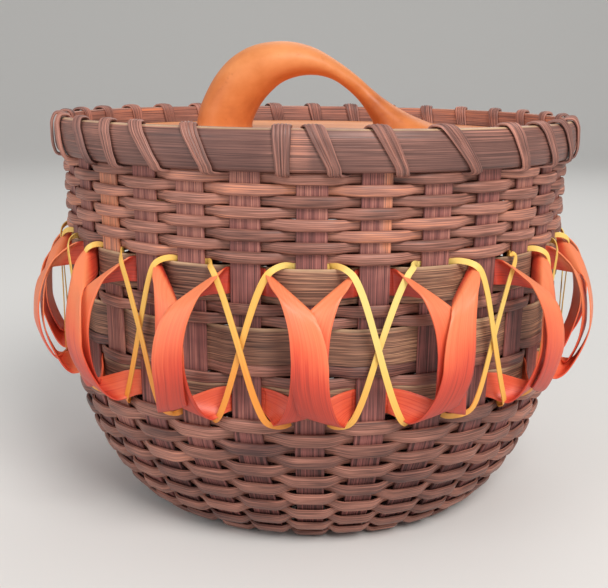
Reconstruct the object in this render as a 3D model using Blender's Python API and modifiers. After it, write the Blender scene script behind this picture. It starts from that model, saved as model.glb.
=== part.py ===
"""Round plain-woven splint basket with curled ribbons, crossing laces and a gourd lid.

Run with: blender --background --python part.py
Metres, +Z up. The origin is at the centre of the foot, on the surface it stands on.
The front of the basket looks along -Y.
"""

import math

import bpy
import bmesh
from mathutils import Matrix, Vector

MM = 0.001

# Driving sizes of the whole basket
stake_count = 32
clearance = 0.3 * MM
rim_radius = 110.0 * MM

# Stakes: flat reed, each strip runs up one side, across the base and up the other
stake_width = 10.9 * MM
stake_thickness = 1.0 * MM
outer_band_thickness = 4.6 * MM
stake_ring_radius = rim_radius - outer_band_thickness - clearance - stake_thickness / 2.0
belly_draw_in = 2.2 * MM
belly_foot_radius = stake_ring_radius - belly_draw_in
belly_foot_height = 57.0 * MM
foot_inset = 38.4 * MM
foot_radius = belly_foot_radius - foot_inset
foot_handle_side = 23.0 * MM
foot_handle_inward = 3.9 * MM
foot_handle_under = 16.0 * MM
foot_handle_lift = 1.2 * MM
foot_segments = 4
stake_width_at_foot = 9.6 * MM

# Base: two layers of strips, the second woven over and under the first in pairs
base_strip_width = 8.4 * MM
base_strip_gap = 2.6 * MM
base_strip_pitch = base_strip_width + base_strip_gap
base_step_margin = 0.35 * MM

# Half-round reed of the woven rounds
reed_thickness = 1.9 * MM
reed_margin = 0.6 * MM

# Foot rounds: they start just below the belly splints
foot_reed_height = 4.8 * MM
foot_pitch_share = 0.958
foot_row_pitch = foot_reed_height * foot_pitch_share
foot_under_share = 0.7
foot_upper_turns = 4
foot_lower_turns = 3
foot_start_gap = 2.7 * MM
step_stakes = 4

# Belly weavers, stacked upward: three wide flat splints with two narrow reeds between
splint_thickness = 1.0 * MM
belly_lift = 3.3 * MM
wide_lower_height = 10.4 * MM
wide_middle_height = 12.6 * MM
wide_upper_height = 11.4 * MM
belly_reed_height = 3.8 * MM
belly_reed_space = 0.4 * MM
belly_reed_pitch = belly_reed_height + belly_reed_space
belly_under_share = 0.9
reed_space_lower = 0.4 * MM
reed_space_upper = 1.05 * MM
wide_lower_bottom = belly_foot_height + belly_lift
wide_lower_top = wide_lower_bottom + wide_lower_height
lower_gap_middle = wide_lower_top + reed_space_lower + (belly_reed_height + belly_reed_pitch) / 2.0
wide_middle_bottom = lower_gap_middle + reed_space_lower + (belly_reed_height + belly_reed_pitch) / 2.0
wide_middle_top = wide_middle_bottom + wide_middle_height
upper_gap_middle = wide_middle_top + reed_space_upper + (belly_reed_height + belly_reed_pitch) / 2.0
wide_upper_bottom = upper_gap_middle + reed_space_upper + (belly_reed_height + belly_reed_pitch) / 2.0
wide_upper_top = wide_upper_bottom + wide_upper_height

# Neck rounds, from the belly up to the rim
neck_reed_height = 4.6 * MM
neck_pitch_share = 0.804
neck_row_pitch = neck_reed_height * neck_pitch_share
neck_under_share = 0.55
neck_turns = 4
neck_end_gap = 1.8 * MM
neck_start_gap = 1.4 * MM
neck_last_height = wide_upper_top + neck_end_gap + neck_reed_height / 2.0
neck_first_height = neck_last_height + neck_row_pitch * (2 * neck_turns - 1)

# Rim: an outer and an inner band over the stake tops, bound by one lashing
rim_band_height = 14.7 * MM
rim_bottom_height = neck_first_height + neck_reed_height / 2.0 + neck_start_gap
rim_top_height = rim_bottom_height + rim_band_height
stake_top_drop = 10.8 * MM
stake_top_height = rim_top_height - stake_top_drop
rim_edge_round = 3.2 * MM
inner_band_thickness = 3.4 * MM
lashing_width = 6.4 * MM
lashing_thickness = 0.8 * MM
lashing_slant = 8.5 * MM
lashing_sag = 0.1 * MM

# Curled ribbons: flat reed tucked behind every second stake, level with the outer splints
ribbon_width = 9.6 * MM
ribbon_thickness = 0.5 * MM
ribbon_top_gap = 0.2 * MM
ribbon_top_middle = wide_upper_top + ribbon_top_gap - ribbon_width / 2.0
ribbon_bottom_middle = wide_lower_bottom + wide_lower_height / 2.0
ribbon_reach = 19.2 * MM
ribbon_layer_gap = 2.8 * MM

# Laces: narrow strips tucked behind the other stakes, just clear of the splints
lace_width = 2.1 * MM
lace_thickness = 0.6 * MM
lace_end_gap = 0.4 * MM
lace_top_height = wide_upper_top + lace_end_gap + lace_width / 2.0
lace_bottom_height = wide_lower_bottom - lace_end_gap - lace_width / 2.0
lace_reach = 5.8 * MM
lace_layer_gap = 1.2 * MM

# Gourd lid: a shallow cap with the gourd's curved neck as its grip
lid_side_gap = 0.9 * MM
lid_edge_thickness = 2.0 * MM
lid_crown_drop = 6.8 * MM
lid_crown_hollow = 2.6 * MM
lid_rest_clearance = 0.3 * MM
lid_segments = 24
neck_start_across = -39.5 * MM
neck_sink = 2.4 * MM
neck_span = 77.0 * MM
neck_rise = 32.6 * MM
neck_radius = 12.0 * MM
neck_roundness = 2
merge_distance = 0.01 * MM

# Shares of the ribbon's curl: (of stake spacing aside, of reach outward, of belly height up)
upper_edge_shares = (
    (-0.570, 0.13, 1.005), (-0.400, 0.74, 0.815), (-0.250, 1.00, 0.520),
    (-0.140, 0.88, 0.265), (0.020, 0.62, 0.130), (0.090, 0.44, 0.135),
)
lower_edge_shares = (
    (-0.130, 0.56, 0.765), (0.140, 0.96, 0.570), (0.235, 0.98, 0.340),
    (0.340, 0.64, 0.125), (0.440, 0.26, 0.015), (0.505, 0.09, 0.000),
)

# Shares of a lace's route beside its crossing: (of stake spacing, of reach, of half its drop)
lace_route_shares = ((0.560, 0.60, 0.990), (0.400, 0.96, 0.930))

# Shares of the inside run at which the lashing reaches and leaves the ledge
lashing_ledge_shares = (0.35, 0.60)

# Shares of the lid's dome between crown and edge: (of radius, of rise)
lid_dome_shares = ((0.48, 0.96), (0.76, 0.76), (0.93, 0.36))

# Shares of the gourd neck's route: (of span across, of rise, of radius)
neck_route_shares = (
    (0.000, 0.000, 1.000), (0.000, 0.282, 1.000), (0.043, 0.552, 1.000),
    (0.116, 0.761, 0.967), (0.209, 0.920, 0.883), (0.326, 1.000, 0.700),
    (0.448, 0.994, 0.542), (0.560, 0.914, 0.417), (0.658, 0.761, 0.358),
    (0.749, 0.589, 0.350), (0.857, 0.393, 0.400), (1.000, 0.135, 0.458),
)

# Sizes worked out from the ones above
stake_step = 2.0 * math.pi / stake_count
quarter_count = stake_count // 4
base_turn = stake_step / 2.0
flat_offset = stake_thickness / 2.0 + clearance + splint_thickness / 2.0
base_level = stake_thickness * 1.5 + clearance
base_offset = stake_thickness + clearance
ribbon_tuck = stake_thickness / 2.0 + clearance + ribbon_thickness / 2.0
splint_tuck = ribbon_tuck + ribbon_thickness / 2.0 + clearance + splint_thickness / 2.0
lace_tuck = stake_thickness / 2.0 + clearance + lace_thickness / 2.0
outer_band_inside = stake_ring_radius + stake_thickness / 2.0 + clearance
inner_band_outside = stake_ring_radius - stake_thickness / 2.0 - clearance
inner_band_inside = inner_band_outside - inner_band_thickness
lashing_skin = clearance + lashing_thickness / 2.0
rim_corner_radius = rim_radius / math.cos(stake_step / 2.0) + lashing_sag
ledge_height = stake_top_height + lashing_skin
lid_radius = outer_band_inside - clearance - lashing_thickness - lid_side_gap
lid_crown_height = rim_top_height - lid_crown_drop
neck_start_height = lid_crown_height - neck_sink

for old in list(bpy.data.objects):
    bpy.data.objects.remove(old, do_unlink=True)

basket = bpy.data.collections.new("woven_basket")
cutters = bpy.data.collections.new("section_guides")
bpy.context.scene.collection.children.link(basket)
bpy.context.scene.collection.children.link(cutters)


def material(name, colour, roughness):
    """One Principled material in a linear RGB colour."""
    made = bpy.data.materials.new(name)
    made.use_nodes = True
    shader = made.node_tree.nodes["Principled BSDF"]
    shader.inputs["Base Color"].default_value = (*colour, 1.0)
    shader.inputs["Roughness"].default_value = roughness
    shader.inputs["Metallic"].default_value = 0.0
    return made


stake_finish = material("purple_stake", (0.105, 0.045, 0.050), 0.65)
reed_finish = material("purple_reed", (0.150, 0.070, 0.065), 0.65)
splint_finish = material("brown_splint", (0.135, 0.085, 0.055), 0.70)
rim_finish = material("rim_splint", (0.110, 0.060, 0.050), 0.60)
lashing_finish = material("lashing_reed", (0.190, 0.095, 0.080), 0.60)
ribbon_finish = material("orange_ribbon", (0.800, 0.200, 0.080), 0.50)
lace_finish = material("yellow_lace", (0.850, 0.480, 0.060), 0.50)
gourd_finish = material("orange_gourd", (0.640, 0.250, 0.050), 0.35)


def add_object(name, data, finish, group=basket):
    """Link new data as a named object with its finish."""
    made = bpy.data.objects.new(name, data)
    if finish is not None:
        data.materials.append(finish)
    group.objects.link(made)
    return made


def wall_outline():
    """Stake centre line in (radius, height), from the rim down to the base."""
    start = Vector((belly_foot_radius, belly_foot_height))
    end = Vector((foot_radius, base_level))
    side = start - Vector((foot_handle_inward, foot_handle_side))
    under = end + Vector((foot_handle_under, foot_handle_lift))
    outline = [Vector((stake_ring_radius, stake_top_height))]
    for step in range(foot_segments + 1):
        t = step / foot_segments
        s = 1.0 - t
        outline.append(start * s ** 3 + side * 3 * s * s * t + under * 3 * s * t * t + end * t ** 3)
    return outline


outline = wall_outline()
outline_lengths = [0.0]
for upper, lower in zip(outline, outline[1:]):
    outline_lengths.append(outline_lengths[-1] + (lower - upper).length)


def wall_point(length):
    """Point of the outline at a length measured down from the stake tops."""
    last = len(outline) - 2
    span = last
    for index in range(last + 1):
        if length <= outline_lengths[index + 1]:
            span = index
            break
    size = outline_lengths[span + 1] - outline_lengths[span]
    share = (length - outline_lengths[span]) / size
    return outline[span].lerp(outline[span + 1], share)


def wall_length(height):
    """Length down the outline at which it passes a height above the belly's foot."""
    share = (stake_top_height - height) / (stake_top_height - belly_foot_height)
    if share <= 1.0:
        return outline_lengths[1] * share
    for index in range(1, len(outline) - 1):
        upper, lower = outline[index], outline[index + 1]
        if lower.y <= height <= upper.y:
            part = (upper.y - height) / (upper.y - lower.y)
            return outline_lengths[index] + part * (lower - upper).length
    return outline_lengths[-1]


def wall_normal(length, height):
    """Outward normal in (radius, height), averaged over a weaver's height."""
    run = wall_point(length + height / 2.0) - wall_point(length - height / 2.0)
    run.normalize()
    return Vector((-run.y, run.x))


def turned(radius, height, angle, aside=0.0):
    """World point at an angle from the front, moved aside along the tangent."""
    outward = Vector((math.sin(angle), -math.cos(angle), 0.0))
    tangent = Vector((math.cos(angle), math.sin(angle), 0.0))
    return outward * radius + tangent * aside + Vector((0.0, 0.0, height))


def local_point(angle, aside, offset, height):
    """Point beside the stake at an angle: aside along the wall, offset outward."""
    middle = wall_point(wall_length(height))
    reach = middle.x + offset
    return turned(reach, height, angle + aside / middle.x)


def strip_mesh(name, left, right, closed):
    """Open band between two edge lines, each panel split along its more level diagonal."""
    bm = bmesh.new()
    pairs = [(bm.verts.new(a), bm.verts.new(b)) for a, b in zip(left, right)]
    count = len(pairs)
    for index in range(count if closed else count - 1):
        this, following = pairs[index], pairs[(index + 1) % count]
        down_diagonal = abs(this[0].co.z - following[1].co.z)
        up_diagonal = abs(this[1].co.z - following[0].co.z)
        if up_diagonal < down_diagonal:
            bm.faces.new((this[0], this[1], following[0]))
            bm.faces.new((this[1], following[1], following[0]))
        else:
            bm.faces.new((this[0], this[1], following[1]))
            bm.faces.new((this[0], following[1], following[0]))
    mesh = bpy.data.meshes.new(name)
    bm.to_mesh(mesh)
    bm.free()
    return mesh


def strip(name, left, right, thickness, finish, closed=False):
    """Flat reed or splint: an open band given its thickness by Solidify."""
    made = add_object(name, strip_mesh(name, left, right, closed), finish)
    shell = made.modifiers.new("thickness", "SOLIDIFY")
    shell.thickness = thickness
    shell.offset = 0.0
    return made


def section_guide(name, height, thickness):
    """Half-round reed section: flat back, round side out."""
    data = bpy.data.curves.new(name, "CURVE")
    data.dimensions = "2D"
    spline = data.splines.new("POLY")
    corners = [(-thickness / 2.0, -height / 2.0), (-thickness / 2.0, height / 2.0), (thickness / 2.0, 0.0)]
    spline.points.add(len(corners) - 1)
    for point, (across, up) in zip(spline.points, corners):
        point.co = (across, up, 0.0, 1.0)
    spline.use_cyclic_u = True
    made = bpy.data.objects.new(name, data)
    made.hide_render = True
    made.display_type = "WIRE"
    cutters.objects.link(made)
    return made


def reed(name, stations, guide, finish, closed):
    """Reed along stations of (point, size share, tilt), swept with its section."""
    data = bpy.data.curves.new(name, "CURVE")
    data.dimensions = "3D"
    data.twist_mode = "Z_UP"
    data.bevel_mode = "OBJECT"
    data.bevel_object = guide
    data.use_fill_caps = not closed
    spline = data.splines.new("POLY")
    spline.points.add(len(stations) - 1)
    for point, (place, size, tilt) in zip(spline.points, stations):
        point.co = (*place, 1.0)
        point.radius = size
        point.tilt = tilt
    spline.use_cyclic_u = closed
    return add_object(name, data, finish)


def woven_stations(stake, over, length, height, under_share):
    """The two stations of a reed beside one stake, at the stake's edges."""
    share = 1.0 if over else under_share
    normal = wall_normal(length, height)
    offset = stake_thickness / 2.0 + clearance + reed_thickness * share / 2.0
    middle = wall_point(length) + normal * (offset if over else -offset)
    angle = stake * stake_step
    aside = stake_width / 2.0 + reed_margin
    tilt = math.atan2(-normal.y, normal.x)
    return [(turned(middle.x, middle.y, angle, side * aside), share, tilt) for side in (-1.0, 1.0)]


def build_stakes():
    """Sixteen strips crossing in the base and rising as thirty-two stakes."""
    legs = outline[:-1]
    edge = (quarter_count - 1) / 2.0 * base_strip_pitch + base_strip_width / 2.0 + base_step_margin
    pair_half = base_strip_pitch / 2.0 + base_strip_width / 2.0 + base_step_margin
    pair_count = quarter_count // 2
    for family in range(2):
        across_turn = base_turn + family * math.pi / 2.0
        spin = Matrix.Rotation(across_turn, 3, "Z")
        for number in range(quarter_count):
            place = (number - (quarter_count - 1) / 2.0)
            pair = number // 2
            middle = [(-edge, 0.0), (edge, 0.0)]
            if family == 1:
                middle = []
                for crossing in range(pair_count):
                    centre = (crossing - (pair_count - 1) / 2.0) * 2.0 * base_strip_pitch
                    level = base_offset if (crossing + pair) % 2 == 0 else -base_offset
                    middle += [(centre - pair_half, level), (centre + pair_half, level)]
            left, right = [], []
            front_angle = across_turn + place * stake_step
            back_angle = across_turn + math.pi - place * stake_step
            for point in legs + [outline[-1]]:
                half = stake_width_at_foot / 2.0 if point is outline[-1] else stake_width / 2.0
                left.append(turned(point.x, point.y, front_angle, -half))
                right.append(turned(point.x, point.y, front_angle, half))
            for along, level in middle:
                aside = place * base_strip_pitch
                for line, half in ((left, -base_strip_width / 2.0), (right, base_strip_width / 2.0)):
                    line.append(spin @ Vector((aside + half, along, base_level + level)))
            for point in [outline[-1]] + legs[::-1]:
                half = stake_width_at_foot / 2.0 if point is outline[-1] else stake_width / 2.0
                left.append(turned(point.x, point.y, back_angle, half))
                right.append(turned(point.x, point.y, back_angle, -half))
            name = "stake_strip_%02d" % (family * quarter_count + number + 1)
            strip(name, left, right, stake_thickness, stake_finish)


def chase_weaver(name, parity, first_length, row_pitch, turns, height, under_share, guide):
    """One reed over every second stake from turn to turn, stepping down at the back."""
    start_turn, end_turn = turns
    stations = []
    for turn in range(max(start_turn - 1, 0), end_turn):
        for count in range(stake_count):
            stake = count + stake_count // 2
            ramp = max(0.0, (count - stake_count + step_stakes + 1) / (step_stakes + 1.0))
            if (turn < start_turn and ramp == 0.0) or (turn == end_turn - 1 and ramp > 0.0):
                continue
            length = first_length + 2.0 * row_pitch * (turn + ramp)
            over = stake % 2 == parity
            stations += woven_stations(stake, over, length, height, under_share)
    return reed(name, stations, guide, reed_finish, False)


def build_reeds():
    """Neck, foot and belly rounds; in neck and foot two reeds chase one another."""
    neck_guide = section_guide("neck_reed_section", neck_reed_height, reed_thickness)
    foot_guide = section_guide("foot_reed_section", foot_reed_height, reed_thickness)
    belly_guide = section_guide("belly_reed_section", belly_reed_height, reed_thickness)
    neck_start = wall_length(neck_first_height)
    foot_start = wall_length(wide_lower_bottom) + foot_start_gap + foot_reed_height / 2.0
    neck_all = (0, neck_turns)
    foot_upper = (0, foot_upper_turns)
    foot_lower = (foot_upper_turns, foot_upper_turns + foot_lower_turns)
    for letter, parity in (("a", 0), ("b", 1)):
        chase_weaver("neck_weaver_" + letter, parity, neck_start + parity * neck_row_pitch,
                     neck_row_pitch, neck_all, neck_reed_height, neck_under_share, neck_guide)
    for letter, parity, turns in (("a", 0, foot_upper), ("b", 1, foot_upper),
                                  ("c", 0, foot_lower), ("d", 1, foot_lower)):
        chase_weaver("foot_weaver_" + letter, 1 - parity, foot_start + parity * foot_row_pitch,
                     foot_row_pitch, turns, foot_reed_height, foot_under_share, foot_guide)
    heights = [middle + side * belly_reed_pitch / 2.0
               for middle in (upper_gap_middle, lower_gap_middle) for side in (1.0, -1.0)]
    for number, height in enumerate(heights):
        parity = 1 if number % 2 == 0 else 0
        stations = []
        for stake in range(stake_count):
            over = stake % 2 == parity
            stations += woven_stations(stake, over, wall_length(height), belly_reed_height, belly_under_share)
        reed("belly_reed_%d" % (number + 1), stations, belly_guide, reed_finish, True)


def wide_splint(name, parity, top, bottom, under_offset):
    """Wide flat weaver: over one stake, under the next, all the way round."""
    left, right = [], []
    for stake in range(stake_count):
        offset = flat_offset if stake % 2 == parity else -under_offset
        for side in (-1.0, 1.0):
            aside = side * (stake_width / 2.0 + reed_margin)
            for line, height in ((left, top), (right, bottom)):
                length = wall_length(height)
                middle = wall_point(length) + wall_normal(length, top - bottom) * offset
                line.append(turned(middle.x, middle.y, stake * stake_step, aside))
    return strip(name, left, right, splint_thickness, splint_finish, closed=True)


def build_splints():
    """The three wide belly weavers; the outer two leave room for the ribbons' tucks."""
    wide_splint("wide_splint_upper", 0, wide_upper_top, wide_upper_bottom, splint_tuck)
    wide_splint("wide_splint_middle", 1, wide_middle_top, wide_middle_bottom, flat_offset)
    wide_splint("wide_splint_lower", 0, wide_lower_top, wide_lower_bottom, splint_tuck)


def turned_ring(name, profile, steps, finish):
    """Closed profile turned about Z, its flats square to the stakes."""
    corner = 1.0 / math.cos(math.pi / steps)
    bm = bmesh.new()
    verts = [bm.verts.new((radius * corner, 0.0, height)) for radius, height in profile]
    for index in range(len(verts)):
        bm.edges.new((verts[index], verts[(index + 1) % len(verts)]))
    mesh = bpy.data.meshes.new(name)
    bm.to_mesh(mesh)
    bm.free()
    made = add_object(name, mesh, finish)
    made.rotation_euler = (0.0, 0.0, math.pi / steps)
    turn = made.modifiers.new("turn", "SCREW")
    turn.steps = steps
    turn.render_steps = steps
    turn.use_merge_vertices = True
    turn.merge_threshold = merge_distance
    return made


def build_rim():
    """Outer and inner rim bands with one slanting lashing round both."""
    top, bottom = rim_top_height, rim_bottom_height
    shoulder = rim_radius - rim_edge_round / 2.0
    outer = [(outer_band_inside, top), (shoulder, top), (rim_radius, top - rim_edge_round),
             (rim_radius, bottom + rim_edge_round), (shoulder, bottom), (outer_band_inside, bottom)]
    turned_ring("rim_outer", outer, stake_count, rim_finish)
    inner = [(inner_band_inside, stake_top_height), (inner_band_outside, stake_top_height),
             (inner_band_outside, bottom), (inner_band_inside, bottom)]
    turned_ring("rim_inner", inner, stake_count, rim_finish)
    skin = lashing_skin
    slant = lashing_slant / rim_radius
    inside_run = stake_step - slant
    loop = [
        (rim_corner_radius + skin, bottom - skin, 0.0),
        (rim_corner_radius + skin, top + skin, slant),
        (outer_band_inside - skin, top + skin, slant),
        (outer_band_inside - skin, ledge_height, slant + inside_run * lashing_ledge_shares[0]),
        (inner_band_inside - skin, ledge_height, slant + inside_run * lashing_ledge_shares[1]),
        (inner_band_inside - skin, bottom - skin, stake_step),
    ]
    left, right = [], []
    for wrap in range(stake_count):
        pass_angle = (0.5 - wrap) * stake_step
        for radius, height, lag in loop:
            left.append(turned(radius, height, pass_angle - lag, -lashing_width / 2.0))
            right.append(turned(radius, height, pass_angle - lag, lashing_width / 2.0))
    strip("rim_lashing", left, right, lashing_thickness, lashing_finish, closed=True)


def curl_point(stake, mirror, layer_share, place):
    """World point of a ribbon edge: shares of stake spacing, reach and belly height."""
    aside_share, reach_share, height_share = place
    spacing = stake_step * stake_ring_radius
    low = ribbon_bottom_middle - ribbon_width / 2.0
    high = ribbon_top_middle + ribbon_width / 2.0
    if reach_share is None:
        offset = -ribbon_tuck
    else:
        offset = ribbon_reach * reach_share * layer_share
    height = low + (high - low) * height_share
    return local_point(stake * stake_step, mirror * aside_share * spacing, offset, height)


def ribbon(name, first_stake):
    """Flat ribbon: tucked at a stake, folded over itself, down across, folded and tucked again."""
    tuck_share = ribbon_width / (ribbon_top_middle - ribbon_bottom_middle + ribbon_width)
    tuck_aside = 1.0 - (stake_width / 2.0 + reed_margin) / (stake_step * stake_ring_radius)
    upper_edge = [(-tuck_aside, None, 1.0)] + list(upper_edge_shares) + [(tuck_aside, None, tuck_share)]
    lower_edge = [(-tuck_aside, None, 1.0 - tuck_share)] + list(lower_edge_shares) + [(tuck_aside, None, 0.0)]
    inner_share = 1.0 - ribbon_layer_gap / ribbon_reach
    left, right = [], []
    for half in range(stake_count // 2):
        stake = first_stake + 1 + 2 * half
        falling = half % 2 == 0
        pairs = list(zip(upper_edge, lower_edge))
        if not falling:
            pairs.reverse()
        for upper, lower in pairs:
            mirror = 1.0 if falling else -1.0
            layer_share = 1.0 if falling else inner_share
            left.append(curl_point(stake, mirror, layer_share, upper))
            right.append(curl_point(stake, mirror, layer_share, lower))
    return strip(name, left, right, ribbon_thickness, ribbon_finish, closed=True)


def lace(name, first_stake):
    """Narrow flat strip: tucked behind a stake, out and across the next, tucked behind the third."""
    spacing = stake_step * stake_ring_radius
    middle = (lace_top_height + lace_bottom_height) / 2.0
    half_drop = (lace_top_height - lace_bottom_height) / 2.0
    edge = stake_width / 2.0 + reed_margin
    places = []
    for half in range(stake_count // 2):
        falling = half % 2 == 0
        start = 2.0 * half * spacing
        rise = 1.0 if falling else -1.0
        reach = lace_reach if falling else lace_reach - lace_layer_gap
        route = [(edge - spacing, -lace_tuck, 1.0)]
        route += [(-aside * spacing, out * lace_reach, drop) for aside, out, drop in lace_route_shares]
        route += [(0.0, reach, 0.0)]
        route += [(aside * spacing, out * lace_reach, -drop) for aside, out, drop in lace_route_shares[::-1]]
        route += [(spacing - edge, -lace_tuck, -1.0)]
        places += [(start + aside, offset, middle + rise * drop * half_drop) for aside, offset, drop in route]
    round_length = stake_count * spacing
    left, right = [], []
    for index, (aside, offset, height) in enumerate(places):
        before, after = places[index - 1], places[(index + 1) % len(places)]
        run = Vector(((after[0] - before[0]) % round_length, after[2] - before[2])).normalized()
        stake = first_stake + 1 + 2 * round(aside / (2.0 * spacing))
        beside = aside - (stake - first_stake - 1) * spacing
        for line, half in ((left, lace_width / 2.0), (right, -lace_width / 2.0)):
            line.append(local_point(stake * stake_step, beside - run.y * half, offset, height + run.x * half))
    return strip(name, left, right, lace_thickness, lace_finish, closed=True)


def build_trim():
    """Two ribbons and two laces, each pair half a zigzag apart."""
    ribbon("ribbon_a", 1)
    ribbon("ribbon_b", 3)
    lace("lace_a", 0)
    lace("lace_b", 2)


def gourd_neck():
    """The gourd's curved neck, thick where it grew and thin where it meets the cap."""
    data = bpy.data.curves.new("gourd_neck", "CURVE")
    data.dimensions = "3D"
    data.bevel_mode = "ROUND"
    data.bevel_depth = neck_radius
    data.bevel_resolution = neck_roundness
    data.use_fill_caps = True
    spline = data.splines.new("POLY")
    spline.points.add(len(neck_route_shares) - 1)
    for point, (across, up, size) in zip(spline.points, neck_route_shares):
        point.co = (neck_start_across + neck_span * across, 0.0, neck_start_height + neck_rise * up, 1.0)
        point.radius = size
    made = bpy.data.objects.new("gourd_neck", data)
    cutters.objects.link(made)
    bpy.context.view_layer.update()
    evaluated = made.evaluated_get(bpy.context.evaluated_depsgraph_get())
    mesh = bpy.data.meshes.new_from_object(evaluated)
    bm = bmesh.new()
    bm.from_mesh(mesh)
    bmesh.ops.remove_doubles(bm, verts=bm.verts, dist=merge_distance)
    bm.to_mesh(mesh)
    bm.free()
    solid = bpy.data.objects.new("gourd_neck_solid", mesh)
    bpy.data.objects.remove(made, do_unlink=True)
    solid.hide_render = True
    solid.display_type = "WIRE"
    cutters.objects.link(solid)
    return solid


def build_lid():
    """Gourd cap turned about Z with its own neck joined on as the grip."""
    crown = lid_crown_height
    edge_low = ledge_height + lashing_thickness / 2.0 + lid_rest_clearance
    edge_high = edge_low + lid_edge_thickness
    rise = crown - edge_high
    profile = [(0.0, crown)]
    profile += [(lid_radius * out, edge_high + rise * up) for out, up in lid_dome_shares]
    profile += [(lid_radius, edge_high), (lid_radius, edge_low), (inner_band_inside, edge_low)]
    profile += [(0.0, crown - lid_crown_hollow)]
    bm = bmesh.new()
    verts = [bm.verts.new((radius, 0.0, height)) for radius, height in profile]
    for first, second in zip(verts, verts[1:]):
        bm.edges.new((first, second))
    mesh = bpy.data.meshes.new("gourd_lid")
    bm.to_mesh(mesh)
    bm.free()
    lid = add_object("gourd_lid", mesh, gourd_finish)
    turn = lid.modifiers.new("turn", "SCREW")
    turn.steps = lid_segments
    turn.render_steps = lid_segments
    turn.use_merge_vertices = True
    turn.merge_threshold = merge_distance
    join = lid.modifiers.new("neck", "BOOLEAN")
    join.operation = "UNION"
    join.solver = "EXACT"
    join.object = gourd_neck()
    return lid


build_stakes()
build_reeds()
build_splints()
build_rim()
build_trim()
build_lid()
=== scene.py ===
"""Round plain-woven splint basket with curled ribbons, crossing laces and a gourd lid."""

import math

import bmesh
import bpy
from bpy.props import FloatProperty, FloatVectorProperty, PointerProperty
from mathutils import Matrix, Vector, noise


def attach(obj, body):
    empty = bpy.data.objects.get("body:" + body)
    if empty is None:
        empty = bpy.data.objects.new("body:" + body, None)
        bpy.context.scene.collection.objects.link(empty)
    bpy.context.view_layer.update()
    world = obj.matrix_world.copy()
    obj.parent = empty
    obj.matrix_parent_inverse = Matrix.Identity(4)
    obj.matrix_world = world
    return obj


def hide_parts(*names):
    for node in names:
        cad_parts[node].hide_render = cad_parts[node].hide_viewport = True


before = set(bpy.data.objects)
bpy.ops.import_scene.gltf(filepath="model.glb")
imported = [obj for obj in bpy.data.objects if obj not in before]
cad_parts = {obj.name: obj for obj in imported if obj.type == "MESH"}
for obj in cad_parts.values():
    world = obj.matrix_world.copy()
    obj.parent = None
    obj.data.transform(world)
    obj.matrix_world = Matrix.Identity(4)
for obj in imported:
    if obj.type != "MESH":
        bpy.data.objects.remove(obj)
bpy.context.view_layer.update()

bl_info = {
    "name": "Lidded splint basket",
    "version": (1, 0, 0),
    "blender": (4, 5, 0),
    "location": "3D View > Sidebar > Basket",
    "description": "Builds a woven splint basket with curled ribbons, laces and a gourd lid",
    "category": "Add Mesh",
}

MM = 0.001
STAKES = 32
STEP = 2.0 * math.pi / STAKES
# Section rows of a woven round from one stake to the next, and all the way round
PER_STAKE = 10
ROUND_COUNT = STAKES * PER_STAKE


# The wall: one outline from the rim down to the base, which all woven pieces follow

RIM_TOP = 162.0 * MM
RIM_BOTTOM = 147.3 * MM
RIM_RADIUS = 110.0 * MM
OUTER_BAND_INSIDE = 105.4 * MM
INNER_BAND_OUTSIDE = 103.8 * MM
INNER_BAND_INSIDE = 100.4 * MM
STAKE_TOP = 151.2 * MM
STAKE_RING = 104.6 * MM
STAKE_THICK = 1.0 * MM
BASE_LEVEL = 1.2 * MM
BASE_PITCH = 11.0 * MM
BASE_WIDTH = 8.4 * MM
# Height that a base strip rises or dips to pass another, and the share of it that is level
BASE_PASS = 0.58 * MM
LEVEL_SHARE = 0.38
# Length down the wall from which a stake narrows, and its width where it meets the base
NARROW_FROM = 90.0 * MM
NARROW_WIDTH = 9.4 * MM

# How far each stake of the front stands beside its even place, in stake spacings
SETTING = {-6: -0.05, -5: -0.11, -4: -0.15, -3: -0.14, -2: -0.17, -1: -0.16, 0: -0.03,
           1: 0.05, 2: 0.16, 3: 0.25, 4: 0.27, 5: 0.20, 6: 0.10, 7: 0.03}
# Height under which the stakes stand evenly, and height over which they are set fully
EVEN_HEIGHT = 15.0 * MM
SET_HEIGHT = 60.0 * MM

# Radius and height of the stakes' middle line, from their tops down, in millimetres
WALL_KNOTS = [
    (104.6, 151.2), (104.1, 131.0), (103.6, 108.0), (103.05, 84.0), (102.2, 57.0),
    (98.9, 41.8), (92.8, 27.3), (84.8, 14.2), (75.7, 5.0), (66.0, 1.2),
]


def spline_point(before, start, end, after, share):
    """Point between start and end on a smooth line through four neighbours."""
    s, s2, s3 = share, share * share, share ** 3
    return ((start * 2.0) + (end - before) * s + (before * 2.0 - start * 5.0 + end * 4.0 - after) * s2
            + (start * 3.0 - before - end * 3.0 + after) * s3) * 0.5


def smooth_line(points, parts, closed=False):
    """Smooth line through points, with so many parts between each two."""
    count = len(points)
    line = []
    spans = count if closed else count - 1
    for index in range(spans):
        if closed:
            four = [points[(index + k) % count] for k in (-1, 0, 1, 2)]
        else:
            four = [points[min(max(index + k, 0), count - 1)] for k in (-1, 0, 1, 2)]
            if index == 0:
                four[0] = points[0] * 2.0 - points[1]
            if index == spans - 1:
                four[3] = points[-1] * 2.0 - points[-2]
        line += [spline_point(*four, part / parts) for part in range(parts)]
    line.append(points[0] if closed else points[-1])
    return line


def lap_line(points, lap, parts):
    """Smooth line once round through points that go on with the same ones moved by lap."""
    line = []
    for index in range(len(points)):
        four = []
        for k in (-1, 0, 1, 2):
            turn, spot = divmod(index + k, len(points))
            four.append(points[spot] + lap * turn)
        line += [spline_point(*four, part / parts) for part in range(parts)]
    return line


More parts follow.
